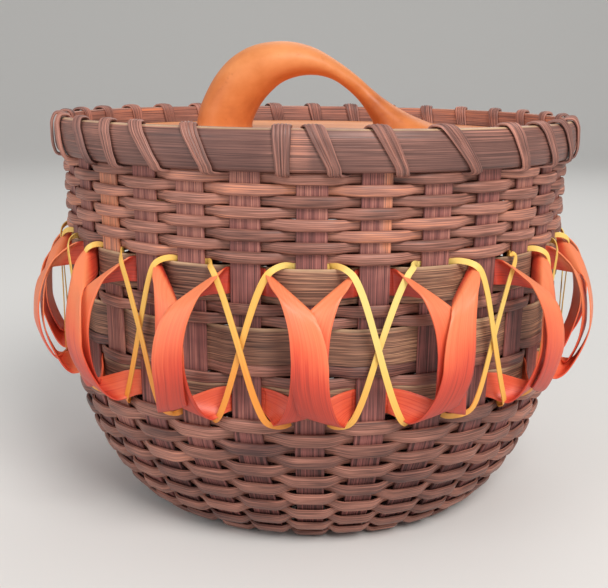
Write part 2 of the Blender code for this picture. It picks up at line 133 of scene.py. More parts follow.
WALL = smooth_line([Vector(knot) * MM for knot in WALL_KNOTS], 24)
WALL_RUN = [0.0]
for upper, lower in zip(WALL, WALL[1:]):
    WALL_RUN.append(WALL_RUN[-1] + (lower - upper).length)


def wall_span(run):
    """Index of the wall's short span that holds a length measured down from the stake tops."""
    low, high = 0, len(WALL_RUN) - 2
    while low < high:
        middle = (low + high) // 2
        if WALL_RUN[middle + 1] < run:
            low = middle + 1
        else:
            high = middle
    return low


def wall_point(run):
    """(radius, height) of the stakes' middle line at a length down from their tops."""
    span = wall_span(run)
    share = (run - WALL_RUN[span]) / (WALL_RUN[span + 1] - WALL_RUN[span])
    return WALL[span].lerp(WALL[span + 1], min(share, 1.0))


def wall_down(run):
    """Unit direction down the wall, in (radius, height)."""
    reach = 1.5 * MM
    step = wall_point(run + reach) - wall_point(max(run - reach, 0.0))
    return step.normalized()


def run_at(height):
    """Length down the wall at which it passes a height."""
    for index in range(len(WALL) - 1):
        if WALL[index + 1].y <= height:
            upper, lower = WALL[index], WALL[index + 1]
            share = (upper.y - height) / (upper.y - lower.y)
            return WALL_RUN[index] + share * (WALL_RUN[index + 1] - WALL_RUN[index])
    return WALL_RUN[-1]


def turned(radius, height, angle):
    """Point at an angle from the front."""
    outward = Vector((math.sin(angle), -math.cos(angle), 0.0))
    return outward * radius + Vector((0.0, 0.0, height))


def outward_at(run):
    """Unit direction out of the wall, in (radius, height)."""
    down = wall_down(run)
    return Vector((-down.y, down.x))


def tangent_at(angle):
    """Unit direction round the basket, to the right as seen from outside."""
    return Vector((math.cos(angle), math.sin(angle), 0.0))


def settled(angle, height):
    """Angle at which the weaver's hand left what even spacing would put at an angle."""
    place = (angle / STEP + STAKES / 2.0) % STAKES - STAKES / 2.0
    before = math.floor(place)
    shift = mixed(SETTING.get(before, 0.0), SETTING.get(before + 1, 0.0), eased(place - before))
    return angle + STEP * shift * eased((height - EVEN_HEIGHT) / (SET_HEIGHT - EVEN_HEIGHT))


def mixed(low, high, share):
    """Value at a share of the way from low to high."""
    return low + (high - low) * share


def eased(value):
    """0 to 1 with a soft start and end."""
    value = min(max(value, 0.0), 1.0)
    return value * value * (3.0 - 2.0 * value)


def wander(place, seed, scale):
    """Smooth, repeatable noise along a length, about -1 to 1."""
    return noise.noise(Vector((place * scale, seed * 7.31, seed * 1.7)))


# Modelling steps shared by the pieces


def deselect_all():
    """Leave edit mode and select nothing."""
    if bpy.context.object is not None and bpy.context.object.mode != "OBJECT":
        bpy.ops.object.mode_set(mode="OBJECT")
    bpy.ops.object.select_all(action="DESELECT")


def pick(obj):
    """Make one object the only selected and active one."""
    deselect_all()
    obj.select_set(True)
    bpy.context.view_layer.objects.active = obj


def joined(rows):
    """Rows with the first one again at the end."""
    return rows + [[point.copy() for point in rows[0]]]


def tube(rows):
    """Rows with each one's first point again at its end."""
    return [row + [row[0].copy()] for row in rows]


def laid_strip(name, rows, wraps=False, closed=False, dye=None, edges=None):
    """Strip of reed: a grid laid out flat, then bent to its rows of points.

    rows holds the points across the strip at each place along it. wraps closes the
    section round on itself, closed joins the strip's end to its start. The UV map keeps
    real lengths along and across the reed; dye and edges are read by the materials.
    """
    along, across = len(rows), len(rows[0])
    deselect_all()
    bpy.ops.mesh.primitive_grid_add(x_subdivisions=along - 1, y_subdivisions=across - 1, size=1.0)
    strip = bpy.context.object
    strip.name = strip.data.name = name
    mesh = strip.data
    run = [0.0]
    for before, after in zip(rows, rows[1:]):
        middle = across // 2
        run.append(run[-1] + (after[middle] - before[middle]).length)
    side = [0.0]
    widest = rows[along // 2]
    for before, after in zip(widest, widest[1:]):
        side.append(side[-1] + (after - before).length)
    dyed = mesh.attributes.new("dye", "FLOAT", "POINT")
    edged = mesh.attributes.new("edge", "FLOAT", "POINT")
    places = []
    for index, vert in enumerate(mesh.vertices):
        i = round((vert.co.x + 0.5) * (along - 1))
        j = round((vert.co.y + 0.5) * (across - 1))
        places.append((i, j))
    for index, vert in enumerate(mesh.vertices):
        i, j = places[index]
        vert.co = rows[i][j]
        dyed.data[index].value = 0.5 if dye is None else dye(i, j)
        edged.data[index].value = 0.0 if edges is None else edges[j]
    layer = mesh.uv_layers.active.data
    for loop in mesh.loops:
        i, j = places[loop.vertex_index]
        layer[loop.index].uv = (run[i], side[j])
    if wraps or closed:
        bpy.ops.object.mode_set(mode="EDIT")
        bpy.ops.mesh.select_all(action="SELECT")
        bpy.ops.mesh.remove_doubles(threshold=0.002 * MM)
        if wraps and not closed:
            bpy.ops.mesh.select_all(action="SELECT")
            bpy.ops.mesh.fill_holes(sides=across + 1)
        if wraps:
            bpy.ops.mesh.select_all(action="SELECT")
            bpy.ops.mesh.normals_make_consistent(inside=False)
        bpy.ops.object.mode_set(mode="OBJECT")
    return strip


def thickened(strip, thickness, edge_round, corner=50.0):
    """Give a bent strip its thickness and soften its edges sharper than corner degrees."""
    pick(strip)
    shell = strip.modifiers.new("thickness", "SOLIDIFY")
    shell.thickness = thickness
    shell.offset = 0.0
    soften = strip.modifiers.new("edges", "BEVEL")
    soften.width = edge_round
    soften.segments = 1
    soften.limit_method = "ANGLE"
    soften.angle_limit = math.radians(corner)
    bpy.ops.object.modifier_apply(modifier=shell.name)
    bpy.ops.object.modifier_apply(modifier=soften.name)
    return strip


def finished(piece, slot, nodes, body="basket", smooth=40.0):
    """Shade a piece, give it its slot's finish and put it in place of its CAD solids."""
    pick(piece)
    bpy.ops.object.shade_smooth_by_angle(angle=math.radians(smooth))
    piece.data.materials.clear()
    piece.data.materials.append(finish_of(slot))
    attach(piece, body)
    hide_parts(*((nodes,) if isinstance(nodes, str) else nodes))
    return piece


# Finishes


class Recipe:
    """A material and short ways to add and join its nodes."""

    def __init__(self, name, roughness):
        self.material = bpy.data.materials.new(name)
        self.material.use_nodes = True
        self.nodes = self.material.node_tree.nodes
        self.links = self.material.node_tree.links
        self.shader = self.nodes["Principled BSDF"]
        self.shader.inputs["Roughness"].default_value = roughness

    def add(self, kind, **values):
        """New node with some of its settings."""
        node = self.nodes.new(kind)
        for key, value in values.items():
            setattr(node, key, value)
        return node

    def join(self, source, target):
        """Link from one node's socket to another's."""
        self.links.new(source, target)

    def strip_place(self, along, across):
        """Place on the strip in its own UV map, stretched along and across."""
        uv = self.add("ShaderNodeUVMap")
        scale = self.add("ShaderNodeMapping")
        scale.inputs["Scale"].default_value = (along, across, 1.0)
        self.join(uv.outputs["UV"], scale.inputs["Vector"])
        return scale.outputs["Vector"]

    def object_place(self, x, y, z):
        """Place in the piece, stretched along its three directions."""
        place = self.add("ShaderNodeTexCoord")
        scale = self.add("ShaderNodeMapping")
        scale.inputs["Scale"].default_value = (x, y, z)
        self.join(place.outputs["Object"], scale.inputs["Vector"])
        return scale.outputs["Vector"]

    def grain(self, place, detail=4.0, rough=0.6):
        """Noise read at a place."""
        cloud = self.add("ShaderNodeTexNoise")
        cloud.inputs["Scale"].default_value = 1.0
        cloud.inputs["Detail"].default_value = detail
        cloud.inputs["Roughness"].default_value = rough
        self.join(place, cloud.inputs["Vector"])
        return cloud.outputs["Fac"]

    def attribute(self, name):
        """The piece's own dye or edge value."""
        return self.add("ShaderNodeAttribute", attribute_name=name).outputs["Fac"]

    def ramp(self, fac, stops):
        """Colour ramp through (place, colour) stops."""
        ramp = self.add("ShaderNodeValToRGB")
        bar = ramp.color_ramp
        while len(bar.elements) < len(stops):
            bar.elements.new(1.0)
        for element, (place, colour) in zip(bar.elements, stops):
            element.position = place
            element.color = (*colour, 1.0)
        self.join(fac, ramp.inputs["Fac"])
        return ramp.outputs["Color"]

    def spread(self, fac, low, high, to_low, to_high):
        """Map a value's range to another."""
        fit = self.add("ShaderNodeMapRange")
        for name, value in (("From Min", low), ("From Max", high), ("To Min", to_low), ("To Max", to_high)):
            fit.inputs[name].default_value = value
        self.join(fac, fit.inputs["Value"])
        return fit.outputs["Result"]

    def sum(self, first, second, operation="ADD"):
        """Two values put together by a sum or another operation."""
        add = self.add("ShaderNodeMath", operation=operation)
        self.join(first, add.inputs[0])
        if isinstance(second, (int, float)):
            add.inputs[1].default_value = second
        else:
            self.join(second, add.inputs[1])
        return add.outputs["Value"]

    def varied(self, tint, fac, swing, low=0.3, high=0.7):
        """A tint pushed down and up by a pattern, by as much as swing."""
        return self.sum(tint, self.spread(fac, low, high, -swing, swing))

    def blend(self, fac, first, second, mode="MIX"):
        """Two colours blended by a share."""
        mix = self.add("ShaderNodeMix", data_type="RGBA", blend_type=mode)
        if isinstance(fac, (int, float)):
            mix.inputs[0].default_value = fac
        else:
            self.join(fac, mix.inputs[0])
        for source, socket in ((first, mix.inputs[6]), (second, mix.inputs[7])):
            if isinstance(source, tuple):
                socket.default_value = (*source, 1.0)
            else:
                self.join(source, socket)
        return mix.outputs[2]

    def finish(self, colour, height, depth, strength, roughness=None):
        """Colour, relief so deep and roughness joined to the shader."""
        self.join(colour, self.shader.inputs["Base Color"])
        bump = self.add("ShaderNodeBump")
        bump.inputs["Strength"].default_value = strength
        bump.inputs["Distance"].default_value = depth
        self.join(height, bump.inputs["Height"])
        self.join(bump.outputs["Normal"], self.shader.inputs["Normal"])
        if roughness is not None:
            self.join(roughness, self.shader.inputs["Roughness"])
        return self.material


def dyed_reed(name, stops, along, across, contrast, roughness, pale_edge=None, depth=0.2 * MM):
    """Dyed reed: tint from the strip's dye, broken by grain along its length.

    along and across are how often the grain changes in a metre, contrast how strongly.
    """
    recipe = Recipe(name, roughness)
    coarse = recipe.grain(recipe.strip_place(along, across * 0.6))
    fine = recipe.grain(recipe.strip_place(along * 1.7, across * 1.5), 2.0, 0.5)
    blotch = recipe.grain(recipe.object_place(38.0, 38.0, 60.0), 3.0)
    tint = recipe.varied(recipe.attribute("dye"), blotch, 0.14)
    tint = recipe.varied(tint, coarse, 0.14)
    tint = recipe.sum(tint, recipe.spread(fine, 0.35, 0.65, -0.12, 0.14))
    colour = recipe.ramp(tint, stops)
    lines = recipe.sum(recipe.sum(coarse, fine), 0.5, "MULTIPLY")
    shade = recipe.sum(recipe.spread(coarse, 0.3, 0.7, 1.0 - 0.5 * contrast, 1.0 + 0.5 * contrast),
                       recipe.spread(fine, 0.36, 0.64, 1.0 - contrast, 1.0 + 0.8 * contrast), "MULTIPLY")
    value = recipe.add("ShaderNodeCombineColor")
    for channel in ("Red", "Green", "Blue"):
        recipe.join(shade, value.inputs[channel])
    colour = recipe.blend(1.0, colour, value.outputs["Color"], "MULTIPLY")
    if pale_edge is not None:
        worn = recipe.spread(blotch, 0.35, 0.65, 0.35, 0.95)
        edge = recipe.sum(recipe.spread(recipe.attribute("edge"), 0.35, 0.95, 0.0, 1.0), worn, "MULTIPLY")
        colour = recipe.blend(edge, colour, pale_edge)
    rough = recipe.spread(coarse, 0.3, 0.7, roughness - 0.1, roughness + 0.14)
    return recipe.finish(colour, lines, depth, 0.7, rough)


def make_finishes(colours):
    """All the basket's finishes, by the record's slot names."""
    dye = {name: tuple(getattr(colours, name)) for name in type(colours).__annotations__}
    dark, pink, orange, edge = dye["reed_dark"], dye["reed_pink"], dye["faded_orange"], dye["cut_edge"]
    brown, rim = dye["splint"], dye["rim"]
    return {
        "purple_reed": dyed_reed(
            "purple_reed", [(0.0, dark), (0.42, dye["reed"]), (0.72, pink), (1.0, orange)],
            30.0, 1900.0, 0.34, 0.50),
        "purple_stake": dyed_reed(
            "purple_stake", [(0.0, dark), (0.40, dye["stake"]), (0.70, pink), (1.0, orange)],
            14.0, 1700.0, 0.36, 0.60, depth=0.35 * MM),
        "brown_splint": dyed_reed(
            "brown_splint", [(0.0, dark), (0.35, mixed_colour(dark, brown, 0.7)), (0.65, brown),
                             (1.0, dye["splint_light"])],
            26.0, 1900.0, 0.55, 0.62, edge, 0.3 * MM),
        "rim_splint": dyed_reed(
            "rim_splint", [(0.0, mixed_colour(dark, rim, 0.4)), (0.45, rim), (0.8, pink), (1.0, orange)],
            15.0, 2100.0, 0.30, 0.44, edge, 0.3 * MM),
        "lashing_reed": dyed_reed(
            "lashing_reed", [(0.0, dark), (0.4, dye["lashing"]), (0.8, pink), (1.0, orange)],
            16.0, 1900.0, 0.38, 0.50, depth=0.4 * MM),
        "orange_ribbon": ribbon_finish(dye),
        "yellow_lace": lace_finish(dye),
        "orange_gourd": gourd_finish(dye),
    }


def mixed_colour(first, second, share):
    """Colour at a share of the way from the first to the second."""
    return tuple(mixed(a, b, share) for a, b in zip(first, second))


def ribbon_finish(dye):
    """Ribbon reed dyed peach, coral and red in bands, with silky lengthwise grain."""
    recipe = Recipe("orange_ribbon", 0.42)
    grain = recipe.grain(recipe.strip_place(9.0, 2300.0))
    crack = recipe.grain(recipe.strip_place(26.0, 1500.0), 2.0, 0.5)
    cloud = recipe.grain(recipe.object_place(45.0, 45.0, 30.0), 2.0, 0.5)
    tint = recipe.varied(recipe.attribute("dye"), cloud, 0.10)
    tint = recipe.varied(tint, grain, 0.12)
    deep = recipe.sum(recipe.spread(crack, 0.55, 0.68, 0.0, 0.34),
                      recipe.spread(recipe.attribute("dye"), 0.25, 0.75, 1.0, 0.12), "MULTIPLY")
    tint = recipe.sum(tint, deep, "SUBTRACT")
    colour = recipe.ramp(tint, [(0.0, dye["ribbon_red"]), (0.35, dye["ribbon_coral"]),
                                (0.65, dye["ribbon_orange"]), (1.0, dye["ribbon_peach"])])
    return recipe.finish(colour, grain, 0.12 * MM, 0.5, recipe.spread(grain, 0.3, 0.7, 0.34, 0.52))


def lace_finish(dye):
    """Yellow-gold lace, turning orange where the dye ran."""
    recipe = Recipe("yellow_lace", 0.45)
    grain = recipe.grain(recipe.strip_place(16.0, 2600.0), 3.0, 0.5)
    tint = recipe.varied(recipe.attribute("dye"), grain, 0.12)
    colour = recipe.ramp(tint, [(0.0, dye["lace_orange"]), (0.5, dye["lace"]), (1.0, dye["lace_pale"])])
    return recipe.finish(colour, grain, 0.1 * MM, 0.4)


def gourd_finish(dye):
    """Dyed gourd shell: soft gloss over mottled orange and tan."""
    recipe = Recipe("orange_gourd", 0.42)
    recipe.shader.inputs["Specular IOR Level"].default_value = 0.30
    cloud = recipe.grain(recipe.object_place(26.0, 26.0, 26.0), 5.0, 0.62)
    fine = recipe.grain(recipe.object_place(170.0, 170.0, 170.0), 5.0)
    streak = recipe.grain(recipe.object_place(30.0, 90.0, 60.0))
    tint = recipe.varied(recipe.attribute("dye"), cloud, 0.30)
    tint = recipe.varied(tint, streak, 0.12, 0.35, 0.65)
    colour = recipe.ramp(tint, [(0.0, dye["gourd_dark"]), (0.45, dye["gourd"]), (1.0, dye["gourd_light"])])
    speck = recipe.spread(fine, 0.62, 0.72, 0.0, 0.35)
    colour = recipe.blend(speck, colour, dye["gourd_dark"])
    rough = recipe.spread(cloud, 0.3, 0.7, 0.36, 0.52)
    return recipe.finish(colour, fine, 0.15 * MM, 0.25, rough)


# Sizes and colours that a user may change


def length(label, note, value):
    """Length that a user may change."""
    return FloatProperty(name=label, description=note, default=value, unit="LENGTH", precision=5)


def colour(label, note, value):
    """Colour that a user may change."""
    return FloatVectorProperty(name=label, description=note, default=value, subtype="COLOR", size=3,
                               min=0.0, max=1.0)


class BasketSizes(bpy.types.PropertyGroup):
    """Reed sizes of the basket."""

    stake_width: length("Stake width", "Width of the upright stakes on the wall", 10.9 * MM)
    neck_reed: length("Neck reed height", "Height of the woven rounds under the rim", 4.35 * MM)
    foot_reed: length("Foot reed height", "Height of the woven rounds of the foot", 5.3 * MM)
    reed_thickness: length("Reed thickness", "Thickness of the woven rounds", 2.1 * MM)
    belly_reed: length("Belly reed height", "Height of the narrow belly rounds", 4.3 * MM)
    splint_thickness: length("Splint thickness", "Thickness of the wide belly splints", 0.9 * MM)
    weave_gap: length("Weave gap", "Play between a round and the stake under it", 0.08 * MM)
    ribbon_width: length("Ribbon width", "Width of the curled ribbons", 9.6 * MM)
    ribbon_reach: length("Ribbon reach", "How far the ribbons stand off the wall", 19.2 * MM)
    lace_width: length("Lace width", "Width of the crossing laces", 2.1 * MM)
    lashing_width: length("Lashing width", "Width of the reed that binds the rim", 6.2 * MM)


class BasketColours(bpy.types.PropertyGroup):
    """Dye colours of the basket."""

    reed_dark: colour("Dark dye", "Deepest tone of the dyed reed", (0.075, 0.028, 0.026))
    reed: colour("Reed", "Main tone of the woven rounds", (0.262, 0.106, 0.075))
    reed_pink: colour("Pink reed", "Where the dye took as pink", (0.420, 0.180, 0.130))
    stake: colour("Stake", "Main tone of the stakes", (0.265, 0.088, 0.076))
    faded_orange: colour("Faded orange", "Where orange shows through", (0.600, 0.225, 0.120))
    splint: colour("Splint", "Main tone of the belly splints", (0.270, 0.130, 0.080))
    splint_light: colour("Pale splint", "Lightest tone of the belly splints", (0.480, 0.270, 0.150))
    cut_edge: colour("Cut edge", "Bare wood at a cut edge", (0.640, 0.420, 0.250))
    rim: colour("Rim", "Main tone of the rim bands", (0.205, 0.092, 0.072))
    lashing: colour("Lashing", "Main tone of the rim lashing", (0.260, 0.120, 0.096))
    ribbon_red: colour("Ribbon red", "Deepest tone of the ribbons", (0.430, 0.040, 0.022))
    ribbon_coral: colour("Ribbon coral", "Lower part of the ribbons", (0.680, 0.064, 0.029))
    ribbon_orange: colour("Ribbon orange", "Middle of the ribbons", (0.840, 0.137, 0.055))
    ribbon_peach: colour("Ribbon peach", "Upper part of the ribbons", (0.870, 0.235, 0.097))
    lace: colour("Lace", "Main tone of the laces", (0.900, 0.560, 0.120))
    lace_pale: colour("Pale lace", "Lightest tone of the laces", (0.900, 0.720, 0.240))
    lace_orange: colour("Orange lace", "Deepest tone of the laces", (0.860, 0.300, 0.040))
    gourd: colour("Gourd", "Main tone of the gourd shell", (0.640, 0.200, 0.055))
    gourd_light: colour("Light gourd", "Palest tone of the gourd shell", (0.850, 0.330, 0.120))
    gourd_dark: colour("Dark gourd", "Deepest tone of the gourd shell", (0.360, 0.080, 0.020))
    floor: colour("Floor", "Floor and backdrop", (0.780, 0.770, 0.750))


FINISHES = {}


def sizes():
    """The scene's basket sizes."""
    return bpy.context.scene.basket_sizes


def finish_of(slot):
    """Finish for a slot, all of them made at the first call."""
    if not FINISHES:
        FINISHES.update(make_finishes(bpy.context.scene.basket_colours))
    return FINISHES[slot]


# Weaving

# Share of a stake's half width on which a round or a wide splint lies level
ROUND_REST = 0.82
SPLINT_REST = 0.90
# Share of its height that a reed keeps between two stakes
ROUND_PINCH = 0.88
NARROW_PINCH = 0.90
NARROW_THICKNESS = 1.7 * MM


def weave(place, parity, half):
    """Where a round runs at a place counted in stakes: 1 outside, -1 inside, 0 between."""
    stake = round(place)
    away = abs(place - stake)
    side = 1.0 if stake % 2 == parity else -1.0
    if away <= half:
        return side
    return side * math.cos(0.5 * math.pi * (away - half) / (0.5 - half))


def oval(count, thickness, height):
    """Points round a flattened oval section, (outward, up), starting at the inside."""
    points = []
    for index in range(count):
        angle = math.pi + 2.0 * math.pi * index / count
        out, up = math.cos(angle), math.sin(angle)
        points.append((0.5 * thickness * math.copysign(abs(out) ** 0.75, out),
                       0.5 * height * math.copysign(abs(up) ** 0.85, up)))
    return points


def round_rows(places, runs, rooms, parity, height, thickness, pinch, seed):
    """Section rows of a woven round at places counted in stakes and runs down the wall.

    Each room is the share of the reed's height left there: a tapered end has less than one.
    Between two stakes the reed is pinched to a share of its height.
    """
    half = sizes().stake_width / 2.0
    rows = []
    for place, run, room in zip(places, runs, rooms):
        middle = wall_point(run)
        down = wall_down(run)
        out = outward_at(run)
        wave = weave(place, parity, ROUND_REST * half / (STEP * middle.x))
        reach = STAKE_THICK / 2.0 + sizes().weave_gap + thickness / 2.0
        size = mixed(pinch, 1.0, abs(wave) ** 1.5) * (1.0 + 0.05 * wander(place, seed, 0.9)) * room
        lift = 0.16 * MM * wander(place, seed + 3, 0.6)
        row = []
        for across, up in oval(10, thickness * mixed(0.86, 1.0, abs(wave)), height * size):
            spot = middle + out * (wave * reach + across) - down * (up + lift)
            row.append(turned(spot.x, spot.y, settled(place * STEP, middle.y)))
        rows.append(row)
    return rows


def dye_by_float(places, parity, seed, level, swing):
    """Tint along a round: one tone for each float, with soft changes inside it."""
    tones = []
    for place in places:
        count = math.floor((place - parity + 1.0) / 2.0)
        tone = level + swing * noise.noise(Vector((count * 3.17, seed * 5.3, 0.5))) * 1.5
        tones.append(tone + 0.12 * wander(place, seed, 0.7))
    return tones


def tone_at(table, place):
    """Tint from a table of front stakes at a place counted in stakes."""
    place %= STAKES
    stake = math.floor(place)
    return mixed(table.get(stake, 0.0), table.get((stake + 1) % STAKES, 0.0), eased(place - stake))


# The front's two pale stakes: one is pale all across at its top, the other in one stripe
PALE_STAKE = 28
STRIPED_STAKE = 1
STAKE_TONES = {PALE_STAKE: 0.92, STRIPED_STAKE: 0.46}


class BASKET_OT_stakes(bpy.types.Operator):
    """Model the sixteen stake strips, woven in the base and rising as thirty-two stakes"""

    bl_idname = "basket.stakes"
    bl_label = "Stakes and base"

    def execute(self, context):
        for family in range(2):
            for number in range(STAKES // 4):
                self.strip(family, number)
        return {"FINISHED"}

    def strip(self, family, number):
        """One strip up a stake at the front, under the base and up the stake across from it."""
        quarter = STAKES // 4
        seed = family * quarter + number
        turn = STEP / 2.0 + family * math.pi / 2.0
        place = number - (quarter - 1) / 2.0
        front = turn + place * STEP
        back = turn + math.pi - place * STEP
        middle_line, side_line = [], []
        leg_rows, across = 26, 7
        legs = [WALL_RUN[-1] * (k / leg_rows) ** 0.92 for k in range(leg_rows)]

        def leg(run, angle, flip):
            spot = wall_point(run)
            narrow = eased((run - NARROW_FROM) / (WALL_RUN[-1] - NARROW_FROM))
            angle = settled(angle, spot.y)
            middle_line.append(turned(spot.x, spot.y, angle))
            width = mixed(sizes().stake_width, NARROW_WIDTH, narrow)
            side_line.append(tangent_at(angle) * flip * width / 2.0)

        for run in legs:
            leg(run, front, 1.0)
        for centre, side in self.base_part(family, number, Matrix.Rotation(turn, 3, "Z")):
            middle_line.append(centre)
            side_line.append(side)
        for run in reversed(legs):
            leg(run, back, -1.0)
        rows = []
        for centre, side in zip(middle_line, side_line):
            rows.append([centre + side * (2.0 * j / (across - 1) - 1.0) for j in range(across)])

        def dye(i, j):
            stake = round((front if i < len(rows) / 2.0 else back) / STEP) % STAKES
            from_top = min(i, len(rows) - 1 - i)
            value = STAKE_TONES.get(stake, 0.44 + 0.16 * wander(stake, 4.0, 2.3))
            value += 0.10 * wander(i * 0.06, seed, 1.0)
            # Painted shade: darker from the belly down, where the stakes lie behind the ribbons, and again
            # on the foot, where they show between the rounds
            value -= 0.19 * eased((from_top - 4) / 2.0) + 0.13 * eased((from_top - 15) / 4.0)
            if stake == PALE_STAKE:
                value -= 0.28 * eased((from_top - 4) / 3.0)
            if stake == STRIPED_STAKE and j >= across - 3 and from_top < 5:
                value += 0.48 * (1.0 if j >= across - 2 else 0.3)
            return value

        name = "stake_%02d" % (seed + 1)
        strip = laid_strip(name, rows, dye=dye)
        thickened(strip, STAKE_THICK, 0.18 * MM)
        finished(strip, "purple_stake", "stake_strip_%02d" % (seed + 1))

    def base_part(self, family, number, spin):
        """(middle, half width) along a strip under the base, over and under the other family."""
        quarter = STAKES // 4
        place = number - (quarter - 1) / 2.0
        reach = (quarter - 1) / 2.0 * BASE_PITCH + BASE_WIDTH
        steps = 57
        for index in range(steps + 1):
            along = mixed(-reach, reach, index / steps)
            place_across = along / BASE_PITCH + (quarter - 1) / 2.0
            crossing = min(max(round(place_across), 0), quarter - 1)
            away = min(abs(place_across - crossing), 0.5)
            level = BASE_PASS if (crossing + number + family) % 2 == 0 else -BASE_PASS
            if away >= LEVEL_SHARE:
                level *= math.cos(0.5 * math.pi * (away - LEVEL_SHARE) / (0.5 - LEVEL_SHARE))
            if abs(along) > reach - BASE_PITCH * 0.25:
                level = 0.0
            middle = spin @ Vector((place * BASE_PITCH, along, BASE_LEVEL + level))
            yield middle, spin @ Vector((1.0, 0.0, 0.0)) * BASE_WIDTH / 2.0


# Height of the first row and length from row to row, and the dye's middle and swing
NECK_FIRST = 145.2 * MM
NECK_PITCH = 3.93 * MM
NECK_DYE = (0.55, 0.26)
FOOT_FIRST = 56.2 * MM
FOOT_PITCH = 4.67 * MM
FOOT_DYE = (0.37, 0.20)


class BASKET_OT_rounds(bpy.types.Operator):
    """Weave the neck and the foot, two rounds chasing each other in each"""

    bl_idname = "basket.rounds"
    bl_label = "Neck and foot rounds"

    # Nodes, parity, rows after the first weaver, turns and seed
    neck = ((("neck_weaver_a",), 0, 0, 4, 11), (("neck_weaver_b",), 1, 1, 4, 12))
    foot = ((("foot_weaver_a", "foot_weaver_c"), 1, 0, 7, 13),
            (("foot_weaver_b", "foot_weaver_d"), 0, 1, 7, 14))

    def execute(self, context):
        for weaver in self.neck:
            self.chase(*weaver, run_at(NECK_FIRST), NECK_PITCH, sizes().neck_reed, NECK_DYE)
        for weaver in self.foot:
            self.chase(*weaver, run_at(FOOT_FIRST), FOOT_PITCH, sizes().foot_reed, FOOT_DYE)
        return {"FINISHED"}

    def chase(self, nodes, parity, late, turns, seed, first, pitch, height, dyeing):
        """Lay one of two rounds that follow each other and step down two rows at the back.

        Its first end tapers in above the step, and its last end tapers out below it.
        """
        # In stakes from the back: where the step starts, its length and the reed's early start
        step_from, step_length, lead = 29.2, 2.6, 3.0
        thinnest = 0.15
        places, runs, rooms = [], [], []
        for index in range(round((turns * STAKES + lead) * PER_STAKE)):
            place = index / PER_STAKE - lead
            turn = math.floor(place / STAKES)
            step = eased((place - turn * STAKES - step_from) / step_length)
            down, room = 2.0 * (turn + step), 1.0
            if turn < 0:
                room = min(2.0 * step - late, 1.0)
                down = (room - 1.0) / 2.0
            elif turn == turns - 1:
                room = min(1.0 + late - 2.0 * step, 1.0)
                down = 2.0 * turn + (1.0 - room) / 2.0
            if room > thinnest:
                places.append(place + STAKES / 2.0)
                runs.append(first + pitch * (late + down))
                rooms.append(room)
        rows = round_rows(places, runs, rooms, parity, height, sizes().reed_thickness, ROUND_PINCH, seed)
        tones = dye_by_float(places, parity, seed, *dyeing)
        strip = laid_strip(nodes[0] + "_round", tube(rows), wraps=True, dye=lambda i, j: tones[i])
        finished(strip, "purple_reed", nodes, smooth=60.0)


# How much paler or darker the wide splints are at the front stakes
SPLINT_TONES = {26: -0.10, 27: -0.16, 28: -0.20, 29: -0.14, 30: -0.06,
                1: 0.10, 2: 0.20, 3: 0.22, 4: 0.16, 5: 0.12, 6: 0.08}
# Heights of the narrow belly rounds, and each wide splint's node, parity, top, bottom, how
# far it lies inside the wall's middle line behind a stake, and seed, in millimetres
NARROW_HEIGHTS = (99.25, 95.05, 77.2, 73.0)
WIDE_SPLINTS = (
    ("wide_splint_upper", 0, 114.3, 101.5, 1.95, 21),
    ("wide_splint_middle", 1, 92.8, 79.3, 1.20, 22),
    ("wide_splint_lower", 0, 70.9, 59.7, 1.95, 23),
)


class BASKET_OT_belly(bpy.types.Operator):
    """Weave the belly: three wide splints with two narrow rounds between each two"""

    bl_idname = "basket.belly"
    bl_label = "Belly splints and rounds"

    def execute(self, context):
        for number, height in enumerate(NARROW_HEIGHTS):
            self.narrow(number, height * MM)
        for name, parity, top, bottom, tuck, seed in WIDE_SPLINTS:
            self.wide(name, parity, top * MM, bottom * MM, tuck * MM, seed)
        return {"FINISHED"}

    def narrow(self, number, height):
        """One narrow round, its end joined to its start at the back."""
        parity = (number + 1) % 2
        places = [STAKES / 2.0 + index / PER_STAKE for index in range(ROUND_COUNT)]
        runs, rooms = [run_at(height)] * ROUND_COUNT, [1.0] * ROUND_COUNT
        rows = round_rows(places, runs, rooms, parity, sizes().belly_reed, NARROW_THICKNESS, NARROW_PINCH,
                          30 + number)
        tones = dye_by_float(places, parity, 40 + number, 0.29, 0.24)
        name = "belly_reed_%d" % (number + 1)
        strip = laid_strip(name + "_round", tube(joined(rows)), wraps=True, closed=True,
                           dye=lambda i, j: tones[i % ROUND_COUNT])
        finished(strip, "purple_reed", name, smooth=60.0)

    def wide(self, name, parity, top, bottom, tuck, seed):
        """One wide splint, crowned a little across its width."""
        over = STAKE_THICK / 2.0 + sizes().weave_gap + sizes().splint_thickness / 2.0
        half = sizes().stake_width / 2.0
        across = 7
        places = [STAKES / 2.0 + index / PER_STAKE for index in range(ROUND_COUNT)]
        first, last = run_at(top), run_at(bottom)
        rows = []
        for place in places:
            waver = 0.12 * MM * wander(place * 0.7, seed, 1.0)
            row = []
            for j in range(across):
                run = mixed(first, last, j / (across - 1))
                middle = wall_point(run)
                wave = weave(place, parity, SPLINT_REST * half / (STEP * middle.x))
                offset = wave * over if wave > 0.0 else wave * tuck
                crown = 0.25 * MM * (1.0 - (2.0 * j / (across - 1) - 1.0) ** 2)
                spot = middle + outward_at(run) * (offset + crown * abs(wave)) + wall_down(run) * waver
                row.append(turned(spot.x, spot.y, settled(place * STEP, middle.y)))
            rows.append(row)
        tones = [0.5 + 0.26 * wander(i * 0.05, seed, 1.0) + tone_at(SPLINT_TONES, place)
                 for i, place in enumerate(places)]
        edges = [1.0] + [0.0] * (across - 1)
        strip = laid_strip(name + "_strip", joined(rows), closed=True,
                           dye=lambda i, j: tones[i % ROUND_COUNT], edges=edges)
        thickened(strip, sizes().splint_thickness, 0.16 * MM)
        finished(strip, "brown_splint", name)


# Rim


